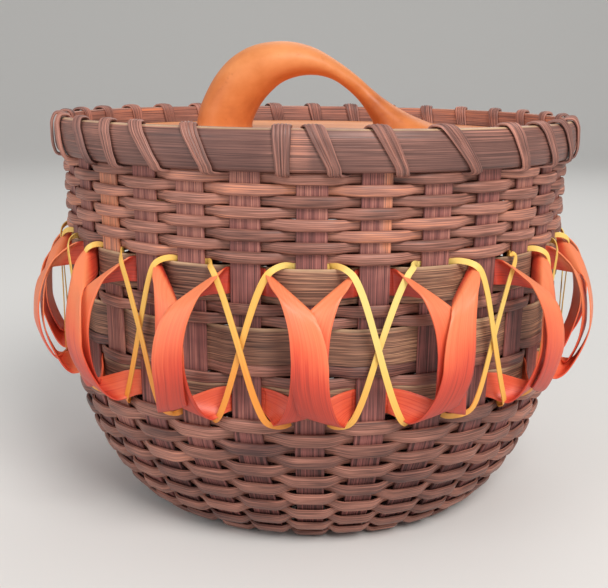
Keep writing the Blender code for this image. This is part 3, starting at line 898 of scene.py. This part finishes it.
def rounded_loop(corners, parts):
    """Closed loop through (across, up, radius) corners, each rounded with so many parts."""
    points = []
    count = len(corners)
    for index, (x, y, radius) in enumerate(corners):
        corner = Vector((x, y))
        before = Vector(corners[index - 1][:2]) - corner
        after = Vector(corners[(index + 1) % count][:2]) - corner
        reach = min(radius, before.length * 0.49, after.length * 0.49)
        start = corner + before.normalized() * reach
        end = corner + after.normalized() * reach
        for part in range(parts + 1):
            t = part / parts
            points.append(start * (1.0 - t) ** 2 + corner * 2.0 * t * (1.0 - t) + end * t * t)
    return points


def ring(name, loop, count, dye, edges, ripple, seed):
    """A turned band: the loop of (radius, height) points carried once round."""
    rows = []
    for index in range(count + 1):
        angle = 2.0 * math.pi * (index % count) / count + math.pi
        place = angle / STEP
        row = []
        for point in loop + loop[:1]:
            waver = ripple * wander(place, seed, 0.8) + 0.4 * ripple * wander(place, seed + 2, 2.3)
            row.append(turned(point.x + waver, point.y + 0.5 * waver, angle))
        rows.append(row)
    return laid_strip(name, rows, wraps=True, closed=True, dye=dye, edges=edges)


# How much paler or darker the dye took on the rim's front, and its one pinker place
RIM_TONES = {28: 0.04, 29: 0.02, 30: -0.10, 31: -0.14,
             0: 0.10, 1: 0.04, 2: -0.12, 3: -0.16, 4: -0.08, 5: 0.04}
PINK_PLACE = 31.6
RIM_COUNT = 256


class BASKET_OT_rim(bpy.types.Operator):
    """Turn the outer and inner rim bands that hold the stake tops"""

    bl_idname = "basket.rim"
    bl_label = "Rim bands"

    def execute(self, context):
        self.outer_band()
        self.inner_band()
        return {"FINISHED"}

    def outer_band(self):
        """The tall band outside the stakes, worn at its top edges."""
        full = RIM_RADIUS + 0.1 * MM
        outer = rounded_loop([
            (OUTER_BAND_INSIDE, RIM_BOTTOM, 0.8 * MM), (RIM_RADIUS - 1.4 * MM, RIM_BOTTOM, 2.2 * MM),
            (full, RIM_BOTTOM + 4.6 * MM, 3.4 * MM), (full, RIM_TOP - 2.6 * MM, 2.2 * MM),
            (RIM_RADIUS - 1.5 * MM, RIM_TOP, 0.9 * MM), (OUTER_BAND_INSIDE, RIM_TOP, 0.7 * MM),
        ], 4)
        edges = []
        for point in outer + outer[:1]:
            worn = 0.95 if point.x > RIM_RADIUS - 2.4 * MM else 0.42
            edges.append(worn if point.y > RIM_TOP - 0.65 * MM else 0.0)

        def dye(i, j):
            place = (i % RIM_COUNT / RIM_COUNT * STAKES + STAKES / 2.0) % STAKES
            point = outer[j % len(outer)]
            tone = tone_at(RIM_TONES, place) + 0.36
            tone += 0.12 * wander(place, 51, 0.45) + 0.08 * wander(place, 52, 1.7)
            # Painted light and shade: the band is made lighter towards its top, which faces the light, and
            # darker towards its rounded bottom
            tone += mixed(-0.14, 0.10, eased((point.y - RIM_BOTTOM) / (RIM_TOP - RIM_BOTTOM)))
            if point.x < OUTER_BAND_INSIDE + 1.0 * MM:
                tone += 0.26
            return tone + 0.34 * eased(1.0 - abs(place - PINK_PLACE) / 0.55)

        band = ring("outer_band", outer, RIM_COUNT, dye, edges, 0.22 * MM, 53)
        finished(band, "rim_splint", "rim_outer", smooth=60.0)

    def inner_band(self):
        """The lower band inside the stakes, which carries the lid."""
        inner = rounded_loop([
            (INNER_BAND_INSIDE, RIM_BOTTOM, 1.2 * MM), (INNER_BAND_OUTSIDE, RIM_BOTTOM, 0.6 * MM),
            (INNER_BAND_OUTSIDE, STAKE_TOP, 0.6 * MM), (INNER_BAND_INSIDE, STAKE_TOP, 1.2 * MM),
        ], 3)

        def dye(i, j):
            return 0.55 + 0.2 * wander(i % RIM_COUNT * 0.11, 54, 1.0)

        band = ring("inner_band", inner, RIM_COUNT, dye, [0.0] * (len(inner) + 1), 0.10 * MM, 55)
        finished(band, "rim_splint", "rim_inner", smooth=60.0)


# The lashing's way up the outer band and down inside both: (radius, height, lag), in
# millimetres, where the lag says how far the wrap has leant over to the next one
LASHING_WAY = [
    (108.80, 146.65, 0.00), (110.35, 149.10, 0.04), (110.85, 152.30, 0.12), (110.90, 156.60, 0.225),
    (110.80, 159.60, 0.30), (109.60, 162.40, 0.37), (107.90, 163.00, 0.41), (105.70, 162.50, 0.45),
    (104.75, 160.40, 0.48), (104.75, 156.40, 0.52), (104.75, 152.90, 0.56), (103.90, 151.85, 0.60),
    (101.70, 151.85, 0.70), (99.75, 150.40, 0.74), (99.75, 148.20, 0.90), (101.60, 146.65, 0.94),
    (103.40, 146.65, 0.97),
]
# Lag at a wrap's head, and where it has come over the top of the outer band
HEAD_LAG = 0.365
OVER_LAG = 0.45
# How far a wrap leans, in stake spacings, for each whole lag
LEAN = 8.5 * MM / (STEP * RIM_RADIUS) / 0.40
LASHING_THICKNESS = 0.7 * MM
# Only edges sharper than this are rounded, which keeps the lashing under 200,000 triangles
LASHING_CORNER = 88.0
# Where the wraps stand at the front, from the first one leftwards: foot and head of each on
# the outer band, in stake spacings from the front
LASHING_PLACES = {0: (0.33, 0.01), 1: (-0.49, -0.51), 2: (-1.70, -2.03), 3: (-2.65, -3.08),
                  4: (-3.63, -3.83), 5: (-4.38, -4.75), 26: (-25.22, -25.68), 27: (-26.15, -26.74),
                  28: (-27.09, -27.60), 29: (-28.10, -28.47), 30: (-29.27, -29.82), 31: (-30.59, -30.96)}


class BASKET_OT_lashing(bpy.types.Operator):
    """Wind the lashing round both rim bands, one wrap for each stake"""

    bl_idname = "basket.lashing"
    bl_label = "Rim lashing"

    def execute(self, context):
        parts = 3
        line = lap_line(self.stations(), Vector((0.0, 0.0, -STAKES)), parts)
        rows = self.ridged_rows(line)
        per_wrap = len(LASHING_WAY) * parts
        tones = [0.48 + 0.22 * wander(round(i / per_wrap), 63, 2.9) + 0.1 * wander(i * 0.04, 64, 1.0)
                 for i in range(len(rows))]
        strip = laid_strip("lashing", joined(rows), closed=True, dye=lambda i, j: tones[i % len(tones)])
        thickened(strip, LASHING_THICKNESS, 0.12 * MM, LASHING_CORNER)
        finished(strip, "lashing_reed", "rim_lashing", smooth=50.0)
        return {"FINISHED"}

    def stations(self):
        """(radius, height, place in stake spacings) of the winding's middle line, wrap by wrap."""
        stations = []
        for wrap in range(STAKES):
            stake = 0.5 - wrap
            shift = 0.04 * wander(stake, 61, 3.1)
            lean = LEAN * (1.0 + 0.10 * wander(stake, 62, 2.7))
            if wrap in LASHING_PLACES:
                foot, head = LASHING_PLACES[wrap]
                shift, lean = foot - stake, (foot - head) / HEAD_LAG
            for radius, height, lag in LASHING_WAY:
                behind = lag * lean
                if lag > OVER_LAG:
                    behind = mixed(OVER_LAG * lean, 1.0, (lag - OVER_LAG) / (1.0 - OVER_LAG))
                back_home = shift * (1.0 - eased((lag - 0.50) / 0.45))
                stations.append(Vector((radius * MM, height * MM, stake - behind + back_home)))
        return stations

    def ridged_rows(self, line):
        """Rows across the reed, arched and ridged, and narrower low on the band."""
        across = 21
        rows = []
        for index, spot in enumerate(line):
            angle = spot.z * STEP
            before, after = line[index - 1], line[(index + 1) % len(line)]
            run = Vector((after.x - before.x, after.y - before.y)).normalized()
            normal = turned(1.0, 0.0, angle) * run.y - Vector((0.0, 0.0, run.x))
            narrow = mixed(0.72, 1.0, eased((spot.y - RIM_BOTTOM) / (RIM_TOP - RIM_BOTTOM)))
            half = narrow * sizes().lashing_width / 2.0
            row = []
            for j in range(across):
                share = 2.0 * j / (across - 1) - 1.0
                ridge = 0.17 * MM * math.cos(share * math.pi * 5.0)
                arch = 0.30 * MM * (1.0 - share * share) - 0.14 * MM
                middle = turned(spot.x, spot.y, angle)
                row.append(middle + tangent_at(angle) * share * half + normal * (ridge + arch))
            rows.append(row)
        return rows


# Ribbons and laces

# A ribbon's two edges beside the stake that its crossing lies over, from where it comes
# out behind one stake to where it goes in behind the next but one:
# (share of the stake spacing aside, distance off the wall, height), in millimetres
RIBBON_UPPER_EDGE = [
    (-0.760, -0.9, 113.9), (-0.715, -0.6, 113.9), (-0.690, 0.6, 113.9), (-0.675, 1.9, 113.7),
    (-0.660, 3.4, 113.1), (-0.620, 5.2, 111.6), (-0.549, 7.4, 109.2), (-0.425, 9.8, 105.4),
    (-0.306, 12.8, 96.4), (-0.265, 14.4, 87.0), (-0.255, 14.2, 78.6), (-0.230, 13.0, 72.8),
    (-0.200, 11.4, 68.4), (-0.165, 9.6, 65.2), (0.020, 6.4, 66.0), (0.250, 3.4, 68.0),
    (0.470, 1.6, 69.7), (0.700, -0.6, 70.3), (0.760, -0.9, 70.3),
]
RIBBON_LOWER_EDGE = [
    (-0.760, -0.9, 104.3), (-0.640, 0.75, 104.3), (-0.420, 1.8, 104.0), (-0.180, 5.2, 103.0),
    (0.020, 10.2, 101.4), (0.085, 12.0, 98.8), (0.141, 13.2, 95.9), (0.200, 14.2, 91.0),
    (0.235, 14.8, 85.0), (0.245, 14.8, 79.0), (0.275, 13.2, 72.0), (0.340, 11.2, 66.0),
    (0.420, 9.2, 61.6), (0.500, 7.0, 59.4), (0.555, 4.6, 59.5), (0.600, 2.8, 60.0),
    (0.645, 1.5, 60.5), (0.700, -0.6, 60.7), (0.760, -0.9, 60.7),
]
# The ribbon's width and greatest distance off the wall in these tables
TABLE_WIDTH = 9.6 * MM
TABLE_REACH = 14.8 * MM
RIBBON_THICKNESS = 0.5 * MM
# Share of the distance off the wall that the inner ribbon keeps, to lie inside the outer one
INNER_SHARE = {"ribbon_a": 0.86, "ribbon_b": 1.0}


def beside(stake, aside, offset, height):
    """Point beside a stake: aside in stake spacings, offset from the wall's middle line."""
    middle = wall_point(run_at(height))
    return turned(middle.x + offset, middle.y, settled((stake + aside) * STEP, middle.y))


class BASKET_OT_ribbons(bpy.types.Operator):
    """Curl two ribbons round the belly, folding at each stake and crossing each other"""

    bl_idname = "basket.ribbons"
    bl_label = "Curled ribbons"

    def execute(self, context):
        self.ribbon("ribbon_a", 1, 71)
        self.ribbon("ribbon_b", 3, 72)
        return {"FINISHED"}

    def ribbon(self, name, first, seed):
        """One ribbon all the way round, folding at every second stake."""
        parts, across = 6, 9
        upper, lower, tones = self.edges(name, first, seed)
        upper = smooth_line(upper, parts, closed=True)[:-1]
        lower = smooth_line(lower, parts, closed=True)[:-1]
        middles = [(high + low) / 2.0 for high, low in zip(upper, lower)]
        rows = []
        for index, (high, low) in enumerate(zip(upper, lower)):
            run = middles[(index + 1) % len(middles)] - middles[index - 1]
            normal = (high - low).cross(run).normalized()
            row = []
            for j in range(across):
                share = j / (across - 1)
                cup = 0.35 * MM * (1.0 - (2.0 * share - 1.0) ** 2)
                row.append(high.lerp(low, share) + normal * cup)
            rows.append(row)

        def dye(i, j):
            spot, part = divmod(i % len(rows), parts)
            tone = mixed(tones[spot], tones[(spot + 1) % len(tones)], part / parts)
            return tone + 0.07 * wander(i * 0.05, seed, 1.0)

        strip = laid_strip(name + "_strip", joined(rows), closed=True, dye=dye)
        thickened(strip, RIBBON_THICKNESS, 0.1 * MM)
        finished(strip, "orange_ribbon", name, smooth=50.0)

    def edges(self, name, first, seed):
        """Points on a ribbon's upper and lower edge and its tints, fold by fold."""
        upper, lower, tones = [], [], []
        spread = sizes().ribbon_width / TABLE_WIDTH
        for half in range(STAKES // 2):
            stake = first + 1 + 2 * half
            pairs = list(zip(RIBBON_UPPER_EDGE, RIBBON_LOWER_EDGE))
            mirror = 1.0
            if half % 2 == 1:
                pairs.reverse()
                mirror = -1.0
            sway = 0.05 * wander(stake, seed, 1.9)
            swell = (0.965 + 0.035 * wander(stake, seed + 4, 2.3)) * sizes().ribbon_reach / TABLE_REACH
            flank = eased((abs((stake + STAKES / 2) % STAKES - STAKES / 2) - 3.0) / 3.0)
            for high, low in pairs:
                middle_height = (high[2] + low[2]) / 2.0
                for line, (aside, off, height) in ((upper, high), (lower, low)):
                    out = off * MM * (swell * INNER_SHARE[name] if off > 1.0 else 1.0)
                    loose = eased((off - 1.0) / 6.0)
                    tall = (middle_height + (height - middle_height) * spread) * MM
                    line.append(beside(stake, mirror * aside + sway * loose, out, tall))
                tones.append(self.tone(high, low) + 0.34 * flank)
        return upper, lower, tones

    def tone(self, high, low):
        """Dye runs from peach at the top of the curl to red where it folds under; the upper tab is painted
        dark red as the curl's shadow.
        """
        height = (high[2] + low[2]) / 2.0
        tone = mixed(0.12, 0.96, eased((height - 64.0) / 40.0))
        # Painted shadow: the tab that comes out at the top, under the curl, is made dark red as shade
        if high[1] < 3.0 and height > 100.0:
            tone = 0.10
        if low[1] < 6.0 and height < 70.0:
            tone = 0.52
        return tone


# A lace's way from behind one stake over the next: (spacings aside, off the wall in
# millimetres, drop as a share), and the same way on to behind the stake after that
LACE_HALF = [(-0.760, -1.0, 1.0), (-0.700, -0.95, 1.0), (-0.600, 1.6, 1.02), (-0.500, 4.4, 0.99),
             (-0.390, 6.2, 0.90), (-0.260, 6.4, 0.66), (-0.130, 6.3, 0.34)]
LACE_WAY = LACE_HALF + [(0.0, 6.2, 0.0)] + [(-aside, off, -drop) for aside, off, drop in LACE_HALF[::-1]]
LACE_MIDDLE = 86.9 * MM
LACE_DROP = 28.1 * MM
LACE_THICKNESS = 0.4 * MM
# Where the laces cross at the front: beside the stake and above the middle, as shares
LACE_CROSSINGS = {29: (0.0, 0.13), 31: (-0.03, -0.03), 1: (0.04, -0.05), 3: (0.10, -0.10)}
# How much paler or more orange the laces are at the front stakes
LACE_TONES = {28: -0.20, 29: -0.26, 30: -0.22, 31: -0.18,
              0: -0.05, 1: 0.16, 2: 0.08, 3: 0.0, 4: -0.10, 5: -0.10}


class BASKET_OT_laces(bpy.types.Operator):
    """Run two narrow laces round the belly, crossing between the ribbons"""

    bl_idname = "basket.laces"
    bl_label = "Crossing laces"

    def execute(self, context):
        self.lace("lace_a", 0, 81)
        self.lace("lace_b", 2, 82)
        return {"FINISHED"}

    def lace(self, name, first, seed):
        """One lace all the way round, up and down between the ribbons."""
        lap = Vector((STAKES, 0.0, 0.0))
        line = lap_line(self.places(first, seed), lap, 4)
        spacing = STEP * STAKE_RING
        half_width = sizes().lace_width / 2.0
        rows = []
        for index, spot in enumerate(line):
            before = line[index - 1] - (lap if index == 0 else lap * 0.0)
            after = line[(index + 1) % len(line)] + (lap if index == len(line) - 1 else lap * 0.0)
            run = Vector(((after.x - before.x) * spacing, after.z - before.z)).normalized()
            row = []
            for share in (-1.0, -0.5, 0.0, 0.5, 1.0):
                crown = 0.03 * MM * (1.0 - share * share)
                row.append(beside(0, spot.x - run.y * share * half_width / spacing, spot.y + crown,
                                  spot.z + run.x * share * half_width))
            rows.append(row)

        def dye(i, j):
            index = i % len(rows)
            tone = mixed(0.16, 0.66, eased((rows[index][2].z - 60.0 * MM) / (42.0 * MM)))
            tone += LACE_TONES.get(round(line[index].x) % STAKES, 0.0)
            return tone + 0.20 * wander(i * 0.05, seed, 1.0)

        strip = laid_strip(name + "_strip", joined(rows), closed=True, dye=dye)
        thickened(strip, LACE_THICKNESS, 0.06 * MM)
        finished(strip, "yellow_lace", name, smooth=30.0)

    def places(self, first, seed):
        """(place in stakes, distance off the wall, height) along a lace, crossing by crossing."""
        places = []
        for half in range(STAKES // 2):
            stake = first + 1 + 2 * half
            rise, depth = (1.0, 1.0) if half % 2 == 0 else (-1.0, 0.80)
            across, up = LACE_CROSSINGS.get(stake % STAKES, (0.05 * wander(stake, seed, 2.1), 0.0))
            sway = across + rise * up / 2.6
            for aside, off, drop in LACE_WAY:
                out = off * depth if off > 1.0 else off
                if rise * drop < 0.0:
                    drop *= 1.04
                place = stake + aside + sway * eased((off - 1.0) / 4.0)
                places.append(Vector((place, out * MM, LACE_MIDDLE + rise * drop * LACE_DROP)))
        return places


# Gourd lid

# The neck's outline in the plane across the front: places on its upper and lower line
NECK_UPPER = [
    (-51.6, 153.4), (-51.2, 158.0), (-50.2, 163.6), (-46.9, 171.5), (-42.2, 179.3), (-35.8, 186.0),
    (-27.7, 190.6), (-19.0, 192.6), (-9.7, 192.6), (0.1, 190.0), (10.0, 184.4), (17.4, 179.2),
    (24.4, 173.6), (32.0, 168.0), (40.6, 163.0), (50.0, 159.0), (60.0, 155.8),
]
NECK_LOWER = [
    (-27.6, 153.2), (-27.2, 157.2), (-25.8, 161.6), (-23.2, 166.4), (-19.3, 171.2), (-14.0, 175.6),
    (-7.6, 178.0), (-2.0, 178.7), (3.4, 178.2), (8.9, 176.2), (14.3, 172.3), (18.8, 167.8),
    (22.6, 162.6), (25.6, 158.0), (29.0, 155.0), (35.0, 153.6), (42.0, 153.4),
]
# The cap's radius and heights, and the radius of the small hole left in its middle at first
CAP_RADIUS = 103.3 * MM
CAP_CROWN = 155.2 * MM
CAP_EDGE_TOP = 154.6 * MM
CAP_UNDERSIDE = 152.7 * MM
CAP_HOLE = 1.5 * MM
# Size of the remeshed lid's cells
LID_CELL = 1.25 * MM
# Where the neck's root is smoothed into the cap: fully within the first distance of its
# middle, less and less up to the second, and only above the last height
ROOT_MIDDLE = (26.0 * MM, 0.0, 155.0 * MM)
ROOT_FULL = 14.0 * MM
ROOT_END = 26.0 * MM
ROOT_BOTTOM = 153.6 * MM


class BASKET_OT_lid(bpy.types.Operator):
    """Shape the gourd cap and its curved neck as one shell"""

    bl_idname = "basket.lid"
    bl_label = "Gourd lid"

    def execute(self, context):
        cap = self.cap()
        neck = self.neck()
        self.applied(cap, "neck", "BOOLEAN", operation="UNION", solver="EXACT", object=neck)
        bpy.data.objects.remove(neck, do_unlink=True)
        cap.data.remesh_voxel_size = LID_CELL
        bpy.ops.object.voxel_remesh()
        self.applied(cap, "soften", "SMOOTH", factor=0.5, iterations=6)
        root = cap.vertex_groups.new(name="root")
        for vert in cap.data.vertices:
            away = math.dist(vert.co, ROOT_MIDDLE)
            near = 1.0 - eased((away - ROOT_FULL) / (ROOT_END - ROOT_FULL))
            if near > 0.0 and vert.co.z > ROOT_BOTTOM:
                root.add([vert.index], near, "REPLACE")
        self.applied(cap, "fillet", "SMOOTH", factor=0.6, iterations=40, vertex_group=root.name)
        cap.vertex_groups.clear()
        self.dye(cap.data)
        finished(cap, "orange_gourd", "gourd_lid", body="lid", smooth=180.0)
        return {"FINISHED"}

    def applied(self, shell, name, kind, **values):
        """Put a modifier with some settings on the shell and apply it."""
        pick(shell)
        step = shell.modifiers.new(name, kind)
        for key, value in values.items():
            setattr(step, key, value)
        bpy.ops.object.modifier_apply(modifier=step.name)

    def dye(self, mesh):
        """Even orange on the cap, darker low on the neck and paler towards its root."""
        for name in ("dye", "edge"):
            if name in mesh.attributes:
                mesh.attributes.remove(mesh.attributes[name])
        tint = mesh.attributes.new("dye", "FLOAT", "POINT")
        for index, vert in enumerate(mesh.vertices):
            tone = 0.78
            if vert.co.z > CAP_CROWN + 0.4 * MM:
                tone = mixed(0.30, 0.72, eased((vert.co.z - 160.0 * MM) / (28.0 * MM)))
                tone += 0.20 * eased((vert.co.x - 10.0 * MM) / (30.0 * MM))
            tint.data[index].value = tone

    def cap(self):
        """Low dome with a rounded edge and a flat underside."""
        outline = [(CAP_HOLE, CAP_CROWN)]
        for out, up in ((0.25, 0.99), (0.48, 0.95), (0.66, 0.86), (0.80, 0.70), (0.91, 0.43), (0.97, 0.18)):
            outline.append((CAP_RADIUS * out, mixed(CAP_EDGE_TOP, CAP_CROWN, up)))
        outline += [(CAP_RADIUS - 0.5 * MM, CAP_EDGE_TOP - 0.15 * MM), (CAP_RADIUS, CAP_EDGE_TOP - 0.8 * MM),
                    (CAP_RADIUS, CAP_UNDERSIDE + 0.5 * MM), (CAP_RADIUS - 0.5 * MM, CAP_UNDERSIDE)]
        outline += [(CAP_RADIUS * out, CAP_UNDERSIDE) for out in (0.93, 0.80, 0.66, 0.48, 0.25)]
        outline.append((CAP_HOLE, CAP_UNDERSIDE))
        loop = [Vector(spot) for spot in outline]
        count = 128
        rows = [[turned(spot.x, spot.y, 2.0 * math.pi * i / count) for spot in loop] for i in range(count)]
        return self.closed_pole(laid_strip("lid", tube(joined(rows)), wraps=True, closed=True))

    def closed_pole(self, cap):
        """Take the small hole out of the cap's middle."""
        bm = bmesh.new()
        bm.from_mesh(cap.data)
        inner = [face for face in bm.faces if all(vert.co.xy.length < 2.0 * MM for vert in face.verts)]
        bmesh.ops.delete(bm, geom=inner, context="FACES")
        bm.to_mesh(cap.data)
        bm.free()
        pick(cap)
        bpy.ops.object.mode_set(mode="EDIT")
        bpy.ops.mesh.select_all(action="SELECT")
        bpy.ops.mesh.fill_holes(sides=200)
        bpy.ops.mesh.select_all(action="SELECT")
        bpy.ops.mesh.normals_make_consistent(inside=False)
        bpy.ops.object.mode_set(mode="OBJECT")
        return cap

    def neck(self):
        """The curved grip, an oval section carried along its two outlines."""
        upper = smooth_line([Vector((x, 0.0, z)) * MM for x, z in NECK_UPPER], 4)
        lower = smooth_line([Vector((x, 0.0, z)) * MM for x, z in NECK_LOWER], 4)
        count, root_from, root_depth = 24, 0.66, 13.0 * MM
        rows = []
        for index, (top, bottom) in enumerate(zip(upper, lower)):
            middle = (top + bottom) / 2.0
            half = (top - bottom) / 2.0
            share = index / (len(upper) - 1)
            depth = half.length * mixed(1.0, 0.92, share)
            if share > root_from:
                depth = mixed(depth, root_depth, eased((share - root_from) / (1.0 - root_from)))
            row = []
            for k in range(count):
                angle = 2.0 * math.pi * k / count
                row.append(middle + half * math.cos(angle) + Vector((0.0, depth * math.sin(angle), 0.0)))
            rows.append(row)
        return laid_strip("neck", tube(rows), wraps=True)


# Stage

# Length of the floor's sides, height of its raised back, and width of the bend between, in metres
FLOOR_SIZE = 6.0
FLOOR_RISE = 3.0
FLOOR_BEND = 1.4
# The low bend at the other sides: where it starts, its radius, and how far under the floor
# it starts, so that no line shows there
SKIRT_START = 2.0
SKIRT_RADIUS = 0.9
SKIRT_SINK = 1.0 * MM
# Name, place, aim, size, power and colour of each soft light
LIGHTS = (
    ("key", (0.50, -1.05, 1.10), (0.0, 0.0, 0.09), 0.8, 18.0, (1.0, 0.985, 0.96)),
    ("fill", (-1.15, -0.85, 0.60), (0.0, 0.0, 0.09), 1.0, 5.0, (0.98, 0.98, 1.0)),
    ("back", (0.2, 1.1, 0.95), (0.0, 0.0, 0.12), 1.0, 3.0, (1.0, 1.0, 1.0)),
)
SKY_STRENGTH = 0.45
# The photograph's eye: place in metres, turns in degrees and lens in millimetres
EYE_PLACE = (0.0, -0.440, 0.1806)
EYE_DOWN = 12.60
EYE_ASIDE = -0.52
EYE_ROLL = 0.56
EYE_LENS = 59.2


class BASKET_OT_stage(bpy.types.Operator):
    """Set the pale floor, the soft lights and the camera"""

    bl_idname = "basket.stage"
    bl_label = "Floor, lights and camera"

    def execute(self, context):
        self.floor(context.scene.basket_colours)
        self.lights()
        self.camera(context)
        context.scene.view_settings.view_transform = "Standard"
        return {"FINISHED"}

    def floor(self, colours):
        """A wide floor that bends up behind the basket, and a low bend at its other sides."""
        deselect_all()
        bpy.ops.mesh.primitive_plane_add(size=FLOOR_SIZE, location=(0.0, 0.0, 0.0))
        floor = bpy.context.object
        floor.name = "floor"
        bpy.ops.object.mode_set(mode="EDIT")
        bpy.ops.mesh.select_all(action="DESELECT")
        bpy.ops.mesh.select_mode(type="EDGE")
        bpy.ops.object.mode_set(mode="OBJECT")
        for edge in floor.data.edges:
            edge.select = all(floor.data.vertices[v].co.y > 0.0 for v in edge.vertices)
        bpy.ops.object.mode_set(mode="EDIT")
        bpy.ops.mesh.extrude_region_move(TRANSFORM_OT_translate={"value": (0.0, 0.0, FLOOR_RISE)})
        bpy.ops.object.mode_set(mode="OBJECT")
        bend = floor.modifiers.new("bend", "BEVEL")
        bend.width = FLOOR_BEND
        bend.segments = 16
        bpy.ops.object.modifier_apply(modifier=bend.name)
        recipe = Recipe("floor", 0.9)
        recipe.shader.inputs["Base Color"].default_value = (*colours.floor, 1.0)
        for piece in (floor, self.skirt()):
            pick(piece)
            bpy.ops.object.shade_smooth()
            piece.data.materials.clear()
            piece.data.materials.append(recipe.material)

    def skirt(self):
        """Bend the floor up at its other sides too, lower than behind the basket."""
        profile = []
        for step in range(13):
            bend = math.radians(81.0 * step / 12.0)
            profile.append((SKIRT_START + SKIRT_RADIUS * math.sin(bend),
                            SKIRT_RADIUS * (1.0 - math.cos(bend)) - SKIRT_SINK))
        rows = []
        for index in range(61):
            angle = math.radians(mixed(-150.0, 150.0, index / 60.0))
            rows.append([turned(out, up, angle) for out, up in profile])
        return laid_strip("skirt", rows)

    def lights(self):
        """Three soft lights and an even white sky."""
        for name, place, aim, size, power, tone in LIGHTS:
            lamp = bpy.data.lights.new(name, "AREA")
            lamp.shape = "DISK"
            lamp.size = size
            lamp.energy = power
            lamp.color = tone
            holder = bpy.data.objects.new(name, lamp)
            bpy.context.scene.collection.objects.link(holder)
            holder.location = place
            holder.rotation_euler = (Vector(aim) - Vector(place)).to_track_quat("-Z", "Y").to_euler()
        world = bpy.context.scene.world or bpy.data.worlds.new("studio")
        bpy.context.scene.world = world
        world.use_nodes = True
        sky = world.node_tree.nodes["Background"]
        sky.inputs["Color"].default_value = (1.0, 1.0, 1.0, 1.0)
        sky.inputs["Strength"].default_value = SKY_STRENGTH

    def camera(self, context):
        """The photograph's eye: 0.44 m in front, a little above the rim, looking down."""
        tilt, yaw, roll = math.radians(EYE_DOWN), math.radians(EYE_ASIDE), math.radians(EYE_ROLL)
        ahead = Vector((math.sin(yaw) * math.cos(tilt), math.cos(yaw) * math.cos(tilt), -math.sin(tilt)))
        right = ahead.cross(Vector((0.0, 0.0, 1.0))).normalized()
        above = right.cross(ahead)
        side = right * math.cos(roll) + above * math.sin(roll)
        top = above * math.cos(roll) - right * math.sin(roll)
        lens = bpy.data.cameras.new("camera")
        lens.lens = EYE_LENS
        lens.sensor_width = 36.0
        holder = bpy.data.objects.new("camera", lens)
        context.scene.collection.objects.link(holder)
        turn = Matrix((side, top, -ahead)).transposed().to_4x4()
        holder.matrix_world = Matrix.Translation(EYE_PLACE) @ turn
        context.scene.camera = holder


# Panel and running order

PIECES = (BASKET_OT_stakes, BASKET_OT_rounds, BASKET_OT_belly, BASKET_OT_rim, BASKET_OT_lashing,
          BASKET_OT_ribbons, BASKET_OT_laces, BASKET_OT_lid, BASKET_OT_stage)


class BASKET_PT_panel(bpy.types.Panel):
    """Sizes, colours and pieces of the basket"""

    bl_idname = "BASKET_PT_panel"
    bl_label = "Lidded splint basket"
    bl_space_type = "VIEW_3D"
    bl_region_type = "UI"
    bl_category = "Basket"

    def draw(self, context):
        layout = self.layout
        for group in (context.scene.basket_sizes, context.scene.basket_colours):
            box = layout.box()
            for name in type(group).__annotations__:
                box.prop(group, name)
        column = layout.column()
        for piece in PIECES:
            column.operator(piece.bl_idname)


CLASSES = (BasketSizes, BasketColours, *PIECES, BASKET_PT_panel)


def register():
    for made in CLASSES:
        bpy.utils.register_class(made)
    bpy.types.Scene.basket_sizes = PointerProperty(type=BasketSizes)
    bpy.types.Scene.basket_colours = PointerProperty(type=BasketColours)


def unregister():
    del bpy.types.Scene.basket_sizes
    del bpy.types.Scene.basket_colours
    for made in reversed(CLASSES):
        bpy.utils.unregister_class(made)


def main():
    register()
    for piece in PIECES:
        group, name = piece.bl_idname.split(".")
        getattr(getattr(bpy.ops, group), name)()


if __name__ == "__main__":
    main()
